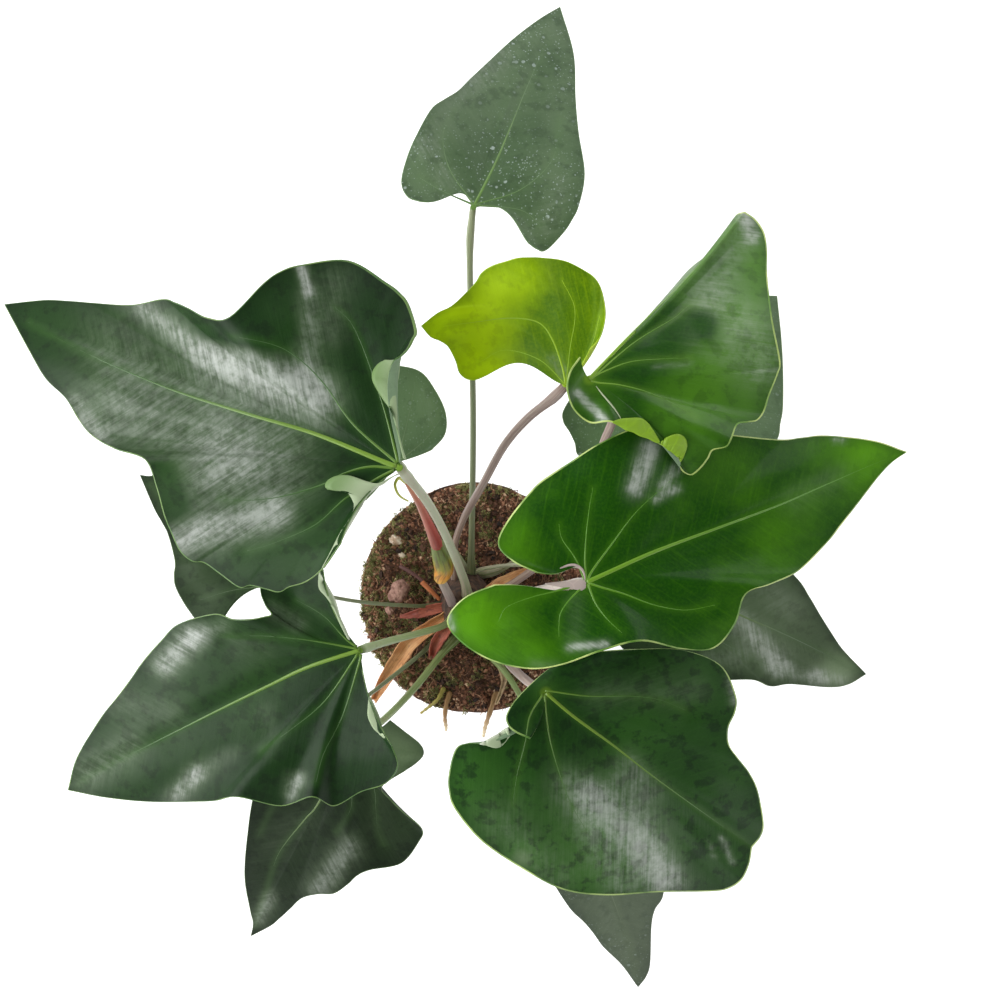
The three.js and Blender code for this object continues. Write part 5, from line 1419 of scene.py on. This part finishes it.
for vertex in peat.data.vertices:
    x, y, z = vertex.co / MM
    r, angle = math.hypot(x, y), math.atan2(y, x)
    if z < PEAT_DISC_FOOT - 40:
        reach, level = PEAT_PLUG_RADIUS, PEAT_PLUG_FOOT
    elif z < PEAT_DISC_FOOT + 5:
        reach, level = PEAT_NECK_RADIUS, PEAT_NECK_HEIGHT
    elif r > PEAT_DISC_RADIUS - 0.1:
        reach, level = peat_edge(angle), PEAT_RIM_HEIGHT
    else:
        reach = r * peat_edge(angle) / 55.4
        level = peat_height(reach * math.cos(angle), reach * math.sin(angle))
        level -= 2.2 * smooth_step((r - PEAT_FADE_START) / 6) ** 2
    vertex.co = Vector((reach * math.cos(angle), reach * math.sin(angle), level)) * MM
bpy.ops.object.shade_smooth()
peat.data.materials.append(peat_finish())
hand_over(peat, "soil", "soil")


def template(add, **settings):
    """The corners and faces of a primitive, to be scattered."""
    thing = start(add, "template", **settings)
    corners = [v.co.copy() for v in thing.data.vertices]
    faces = [tuple(p.vertices) for p in thing.data.polygons]
    bpy.data.objects.remove(thing)
    return corners, faces


CRUMB = template(bpy.ops.mesh.primitive_ico_sphere_add, subdivisions=1, radius=1)
CLOD = template(bpy.ops.mesh.primitive_ico_sphere_add, subdivisions=2, radius=1)
SPIKE = template(bpy.ops.mesh.primitive_cone_add, vertices=4, radius1=0.5, depth=2)


def spot_on_peat(draw, limit=56.5):
    """A random place on the peat, out to a limit."""
    r, angle = limit * math.sqrt(draw.random()), draw.uniform(0, math.tau)
    return r * math.cos(angle), r * math.sin(angle)


def scatter(shape, form, where, turn, scale, hue, draw=None, ragged=0.0):
    """One more scrap: a template turned, scaled, roughened and put in its place."""
    corners, faces = form
    base = len(shape.points)
    for corner in corners:
        swell = 1 + (draw.uniform(-ragged, ragged) if draw else 0)
        moved = turn @ Vector(c * k * swell for c, k in zip(corner, scale))
        shape.point(moved + where, hue=hue)
    for face in faces:
        shape.face([base + i for i in face])


def random_turn(draw):
    """Any turn in space."""
    axis = Vector((draw.gauss(0, 1), draw.gauss(0, 1), draw.gauss(0, 1))).normalized()
    return Matrix.Rotation(draw.uniform(0, math.tau), 3, axis)


def hue_finish(name, stops, roughness, scale):
    """Scattered matter, each scrap with a hue of its own."""
    f = Finish(name)
    share = f.known("hue") + (f.noise(scale, 3) - 0.5) * 0.5
    body = f.node("ShaderNodeValToRGB", {"stops": [(spot, paint(*colour))
                                                   for spot, colour in stops]}, {"Fac": share})
    return f.surface(base_color=body, roughness=roughness,
                     normal=f.bump(f.noise(scale * 2, 3), 0.6, 0.0005))


def dryness(x, y):
    """How much paler the peat is towards its rim, where it has dried."""
    return 0.24 * smooth_step((math.hypot(x, y) - 43) / 12)


CRUMBS = 8600
CLODS = 420
MOSS_SPOTS = 5200
FIBRES = 1300
FIBRE_LIMIT = 58.5


def peat_crumbs():
    """Fine crumbs all over the peat, lower where they lie on its rim."""
    shape, draw = Shape(), random.Random(11)
    for _ in range(CRUMBS):
        x, y = spot_on_peat(draw)
        size = draw.uniform(0.3, 0.7) + max(0, draw.gauss(0, 0.3))
        scale = (size * draw.uniform(0.7, 1.6), size, size * draw.uniform(0.5, 0.9))
        where = Vector((x, y, peat_height(x, y) + size * 0.15))
        if math.hypot(x, y) > 54:
            where.z -= 1
        patch = 0.5 + 0.9 * noise.noise(Vector((x / 4.5, y / 4.5, 13)))
        scatter(shape, CRUMB, where, random_turn(draw), scale,
                0.6 * draw.random() ** 1.3 + 0.45 * patch + dryness(x, y), draw, 0.25)
    return shape.piece("peat_crumbs", [hue_finish("peat crumbs", [
        (0.0, (34, 22, 16)), (1.0, (214, 180, 150)), (0.3, (80, 52, 37)), (0.55, (124, 80, 58)),
        (0.8, (160, 112, 86))], 0.9, 500)], smooth=False)


def peat_clods():
    """Bigger lumps of peat, which stand out of the crumbs."""
    shape, draw = Shape(), random.Random(17)
    for _ in range(CLODS):
        x, y = spot_on_peat(draw, 55.5)
        size = draw.uniform(0.8, 1.7)
        scale = (size * draw.uniform(0.9, 1.5), size, size * 0.7)
        where = Vector((x, y, peat_height(x, y) + size * 0.1))
        scatter(shape, CLOD, where, random_turn(draw), scale, draw.random(), draw, 0.28)
    return shape.piece("peat_clods", [hue_finish("peat clods", [
        (0.0, (30, 20, 15)), (1.0, (136, 96, 70)), (0.4, (62, 40, 29)), (0.75, (94, 61, 44))],
        0.95, 260)], smooth=False)


def peat_moss():
    """Tufts of moss in patches, more of them on the left."""
    shape, draw = Shape(), random.Random(23)
    for _ in range(MOSS_SPOTS):
        x, y = spot_on_peat(draw, 57.2)
        here = noise.noise(Vector((x / 12, y / 12, 9)))
        if here + 0.5 * (-x / 57) + draw.uniform(-0.16, 0.16) < 0.1:
            continue
        hue = draw.random()
        for _ in range(6):
            lean = Vector((draw.uniform(-1, 1), draw.uniform(-1, 1), draw.uniform(0.3, 1.2)))
            turn = lean.to_track_quat("Z", "Y").to_matrix()
            length = draw.uniform(0.7, 1.7)
            foot = Vector((x + draw.uniform(-0.8, 0.8), y + draw.uniform(-0.8, 0.8), 0))
            foot.z = peat_height(foot.x, foot.y) + 0.7
            scatter(shape, SPIKE, foot, turn, (0.42, 0.42, length), hue + dryness(x, y))
    return shape.piece("peat_moss", [hue_finish("moss", [
        (0.0, (70, 72, 36)), (1.0, (170, 166, 108)), (0.5, (112, 112, 60))], 0.85, 300)])


def peat_fibres():
    """Thin bent fibres, three-sided, lying on the peat."""
    shape, draw = Shape(), random.Random(31)
    for _ in range(FIBRES):
        x, y = spot_on_peat(draw, 57)
        angle, length = draw.uniform(0, math.tau), draw.uniform(2, 6.5)
        bend, radius, hue = draw.uniform(-0.6, 0.6), draw.uniform(0.08, 0.2), draw.random()
        hue += dryness(x, y)
        rows, steps = [], 5
        for i in range(steps + 1):
            u = i / steps - 0.5
            turn = angle + bend * u * 2
            px, py = x + math.cos(turn) * length * u, y + math.sin(turn) * length * u
            r = math.hypot(px, py)
            if r > FIBRE_LIMIT:
                px, py = px * FIBRE_LIMIT / r, py * FIBRE_LIMIT / r
            centre = Vector((px, py, peat_height(px, py) + 0.8 + draw.uniform(-0.3, 0.9)))
            side = Vector((-math.sin(turn), math.cos(turn), 0)) * radius
            rows.append([shape.point(centre + side, hue=hue),
                         shape.point(centre - side, hue=hue),
                         shape.point(centre + Vector((0, 0, radius * 1.4)), hue=hue)])
        shape.tube(rows[::-1])
    return shape.piece("peat_fibres", [hue_finish("peat fibres", [
        (0.0, (58, 34, 26)), (1.0, (176, 132, 100)), (0.5, (104, 64, 46))], 0.8, 400)])


hand_over(peat_crumbs(), "soil")
hand_over(peat_clods(), "soil")
hand_over(peat_moss(), "soil")
hand_over(peat_fibres(), "soil")


def chip(name, where, size, finish, seed, ragged=0.3):
    """A lump of perlite or bark: a ball roughened and squashed."""
    lump = start(bpy.ops.mesh.primitive_ico_sphere_add, name, subdivisions=4, radius=1,
                 location=(0, 0, 0))
    x, y = where
    centre = Vector((x, y, peat_height(x, y) + size[2] * 0.45))
    for vertex in lump.data.vertices:
        p = vertex.co.copy()
        swell = 1 + ragged * noise.noise(p * 1.6 + Vector((seed * 5.0, 0, 0)))
        swell += ragged * 0.4 * noise.noise(p * 5 + Vector((0, seed * 3.0, 0)))
        offset = Vector(c * k * swell for c, k in zip(p, size))
        vertex.co = (centre + Matrix.Rotation(seed * 1.3, 3, "Z") @ offset) * MM
    lump.data.materials.append(finish)
    bpy.ops.object.shade_smooth()
    hand_over(lump, "soil")


def chip_finish(name, light, dark):
    """Chalky or woody matter with small pits."""
    f = Finish(name)
    pits = f.cells(900)
    body = f.mix(f.step(f.noise(420, 3), 0.4, 0.62), paint(*light), paint(*dark))
    return f.surface(base_color=body, roughness=0.85,
                     normal=f.bump(pits + f.noise(700, 3), 0.6, 0.0006))


PERLITE = chip_finish("perlite", (222, 206, 186), (180, 152, 128))
BARK = chip_finish("bark chip", (164, 126, 112), (124, 88, 76))
chip("perlite_large", (-39, 29), (2.6, 3.6, 2.2), PERLITE, 1)
chip("perlite_small", (-36, 21.5), (1.7, 1.4, 1.2), PERLITE, 2)
chip("bark_chip", (-37, 4), (6.4, 4.6, 3.2), BARK, 3)
chip("bark_crumb", (-42, -6), (2.6, 2.0, 1.6), BARK, 4)

for name, route, radius, tone in (
        ("twig", [(-37, 16, 106), (-31, 12.5, 108), (-24, 7, 109), (-18, 1, 110)], 1.0,
         (92, 60, 56)),
        ("stub", [(-26, 8, 111), (-22, 4, 112), (-17, -1, 112)], 1.3, (178, 104, 62))):
    scrap = tinted_finish("peat " + name, [tone, tone], [0, 1], 0.6, stain=(52, 32, 28))
    hand_over(rod("peat_" + name, route, lambda u, r=radius: r * (1 - 0.3 * u), scrap, 16), "soil")


def crown_finish():
    """Dark bark with rings of old leaf scars."""
    f = Finish("crown")
    lines = f.noise(1, 4, f.stretch(f.place(), (260, 260, 900)), 0.65)
    body = f.mix(f.step(lines, 0.35, 0.65), paint(44, 30, 22), paint(86, 60, 44))
    return f.surface(base_color=body, roughness=0.8, normal=f.bump(lines, 0.8, 0.001))


CROWN_CENTRE = Vector((-4, -3, 101))
CROWN_SIZE = Vector((13, 13 * 1.35, 20.5))
crown = start(bpy.ops.mesh.primitive_uv_sphere_add, "crown_bark", segments=64, ring_count=40,
              radius=1, location=(0, 0, 0))
for vertex in crown.data.vertices:
    p = vertex.co.copy()
    flat = math.hypot(p.x, p.y)
    belly = 1 / math.sqrt(flat) if flat > 1e-6 else 0
    knobs = 1 + 0.08 * noise.noise(p * 3.5) + 0.03 * math.sin(p.z * 40)
    stretch = Vector((belly * knobs, belly * knobs, 1))
    vertex.co = (CROWN_CENTRE + p * stretch * CROWN_SIZE) * MM
crown.data.materials.append(crown_finish())
bpy.ops.object.shade_smooth()
hand_over(crown, "crown", "crown")


# Pot.

def pot_finish():
    """Matte black plastic with scuffs, dusty at its rim."""
    f = Finish("pot plastic")
    cloud, fine = f.noise(28, 3), f.noise(2200, 2)
    body = f.mix(cloud, paint(32, 33, 34), paint(48, 48, 48))
    dust = f.step(f.height() + f.noise(90, 3) * 0.02, 0.098, 0.112) * 0.35
    body = f.mix(dust, body, paint(96, 78, 62))
    scuffs = f.step(f.noise(1, 4, f.stretch(f.place(), (90, 90, 900)), 0.7), 0.6, 0.75)
    return f.surface(base_color=f.mix(scuffs * 0.12, body, paint(110, 110, 108)),
                     roughness=cloud * 0.12 + scuffs * 0.1 + 0.42,
                     normal=f.bump(fine, 0.12, 0.0002))


# Radius and height of each turn of the pot's wall, from the base up, over the rim and down.
POT_TURNS = [
    (41.2, 0), (42.6, 0.35), (43.0, 1.2), (44.5, 14), (44.9, 14.4), (44.9, 15.6), (44.7, 16),
    (48.0, 44), (51.6, 76), (52.0, 76.4), (52.1, 77.6), (51.8, 78), (52.75, 87.6),
    (53.4, 87.9), (54.8, 88.3), (55.1, 88.9), (55.45, 97.6), (55.5, 98.6), (55.4, 99.4),
    (54.9, 99.85), (54.2, 100), (53.2, 99.9), (52.6, 99.4), (52.1, 98), (46.6, 48),
    (41.6, 4.2), (41.0, 2.7), (39.6, 2.4),
]
DRAIN_HOLES = 6
DRAIN_CIRCLE = 29
DRAIN_RADIUS = 4.5

pot = start(bpy.ops.mesh.primitive_circle_add, "nursery_pot", vertices=128,
            radius=POT_TURNS[0][0] * MM, fill_type="NGON", location=(0, 0, 0))
bpy.ops.object.mode_set(mode="EDIT")
bpy.ops.mesh.select_all(action="SELECT")
for (r, z), (next_r, next_z) in zip(POT_TURNS, POT_TURNS[1:]):
    bpy.ops.mesh.extrude_region_move(
        TRANSFORM_OT_translate={"value": (0, 0, (next_z - z) * MM)})
    bpy.ops.transform.resize(value=(next_r / r, next_r / r, 1),
                             center_override=(0, 0, next_z * MM))
bpy.ops.mesh.select_all(action="SELECT")
bpy.ops.mesh.normals_make_consistent(inside=False)
bpy.ops.object.mode_set(mode="OBJECT")
for i in range(DRAIN_HOLES):
    angle = i / DRAIN_HOLES * math.tau
    drill = start(bpy.ops.mesh.primitive_cylinder_add, "drill", vertices=32,
                  radius=DRAIN_RADIUS * MM, depth=12 * MM,
                  location=(DRAIN_CIRCLE * MM * math.cos(angle),
                            DRAIN_CIRCLE * MM * math.sin(angle), 1 * MM))
    bpy.context.view_layer.objects.active = pot
    hole = pot.modifiers.new("drain", "BOOLEAN")
    hole.object = drill
    bpy.ops.object.modifier_apply(modifier="drain")
    bpy.data.objects.remove(drill)
bpy.ops.object.select_all(action="DESELECT")
pot.select_set(True)
bpy.ops.object.shade_smooth_by_angle(angle=math.radians(32))
pot.data.materials.append(pot_finish())
hand_over(pot, "pot_plastic", "pot")


# Stage, light and camera.

floor = start(bpy.ops.mesh.primitive_plane_add, "floor", size=8, location=(0, 0, 0))
white = Finish("pale floor")
floor.data.materials.append(white.surface(base_color=paint(205, 205, 205), roughness=0.9,
                                          emission_color=(1, 1, 1, 1), emission_strength=0.78))


def softbox(name, towards, distance, size, glow):
    """A square soft light, aimed at the middle of the plant, of a given brightness."""
    aim = Vector((0, 0.05, 0.25))
    where = aim + Vector(towards).normalized() * distance
    bpy.ops.object.light_add(type="AREA", location=where)
    lamp = bpy.context.object
    lamp.name = name
    lamp.data.size = size
    lamp.data.energy = glow * math.pi * size * size
    lamp.visible_camera = False
    lamp.rotation_euler = (aim - where).to_track_quat("-Z", "Y").to_euler()


softbox("window light", (-0.86, -0.16, 0.46), 1.7, 1.5, 5.0)
softbox("upper left light", (-0.5, 0.75, 0.42), 1.9, 0.9, 3.0)
softbox("upper right light", (0.55, 0.7, 0.42), 1.9, 0.9, 3.0)
softbox("right light", (0.84, -0.38, 0.34), 1.9, 1.0, 2.4)

world = bpy.data.worlds.new("studio")
bpy.context.scene.world = world
world.use_nodes = True
studio = Nodes(world.node_tree)
up = studio.node("ShaderNodeSeparateXYZ", values={
    "Vector": studio.node("ShaderNodeTexCoord", output="Generated")}, output="Z")
studio.wire(world.node_tree.nodes["Background"], {
    "Color": (1, 1, 1, 1), "Strength": studio.step(up, 0.9, 0.1) * 0.7 + 0.2})

bpy.ops.object.camera_add(location=EYE * MM, rotation=(0, 0, 0))
camera = bpy.context.object
camera.data.lens = LENS
camera.data.sensor_width = SENSOR
camera.data.clip_end = 20
bpy.context.scene.camera = camera
bpy.context.scene.view_settings.view_transform = "Standard"
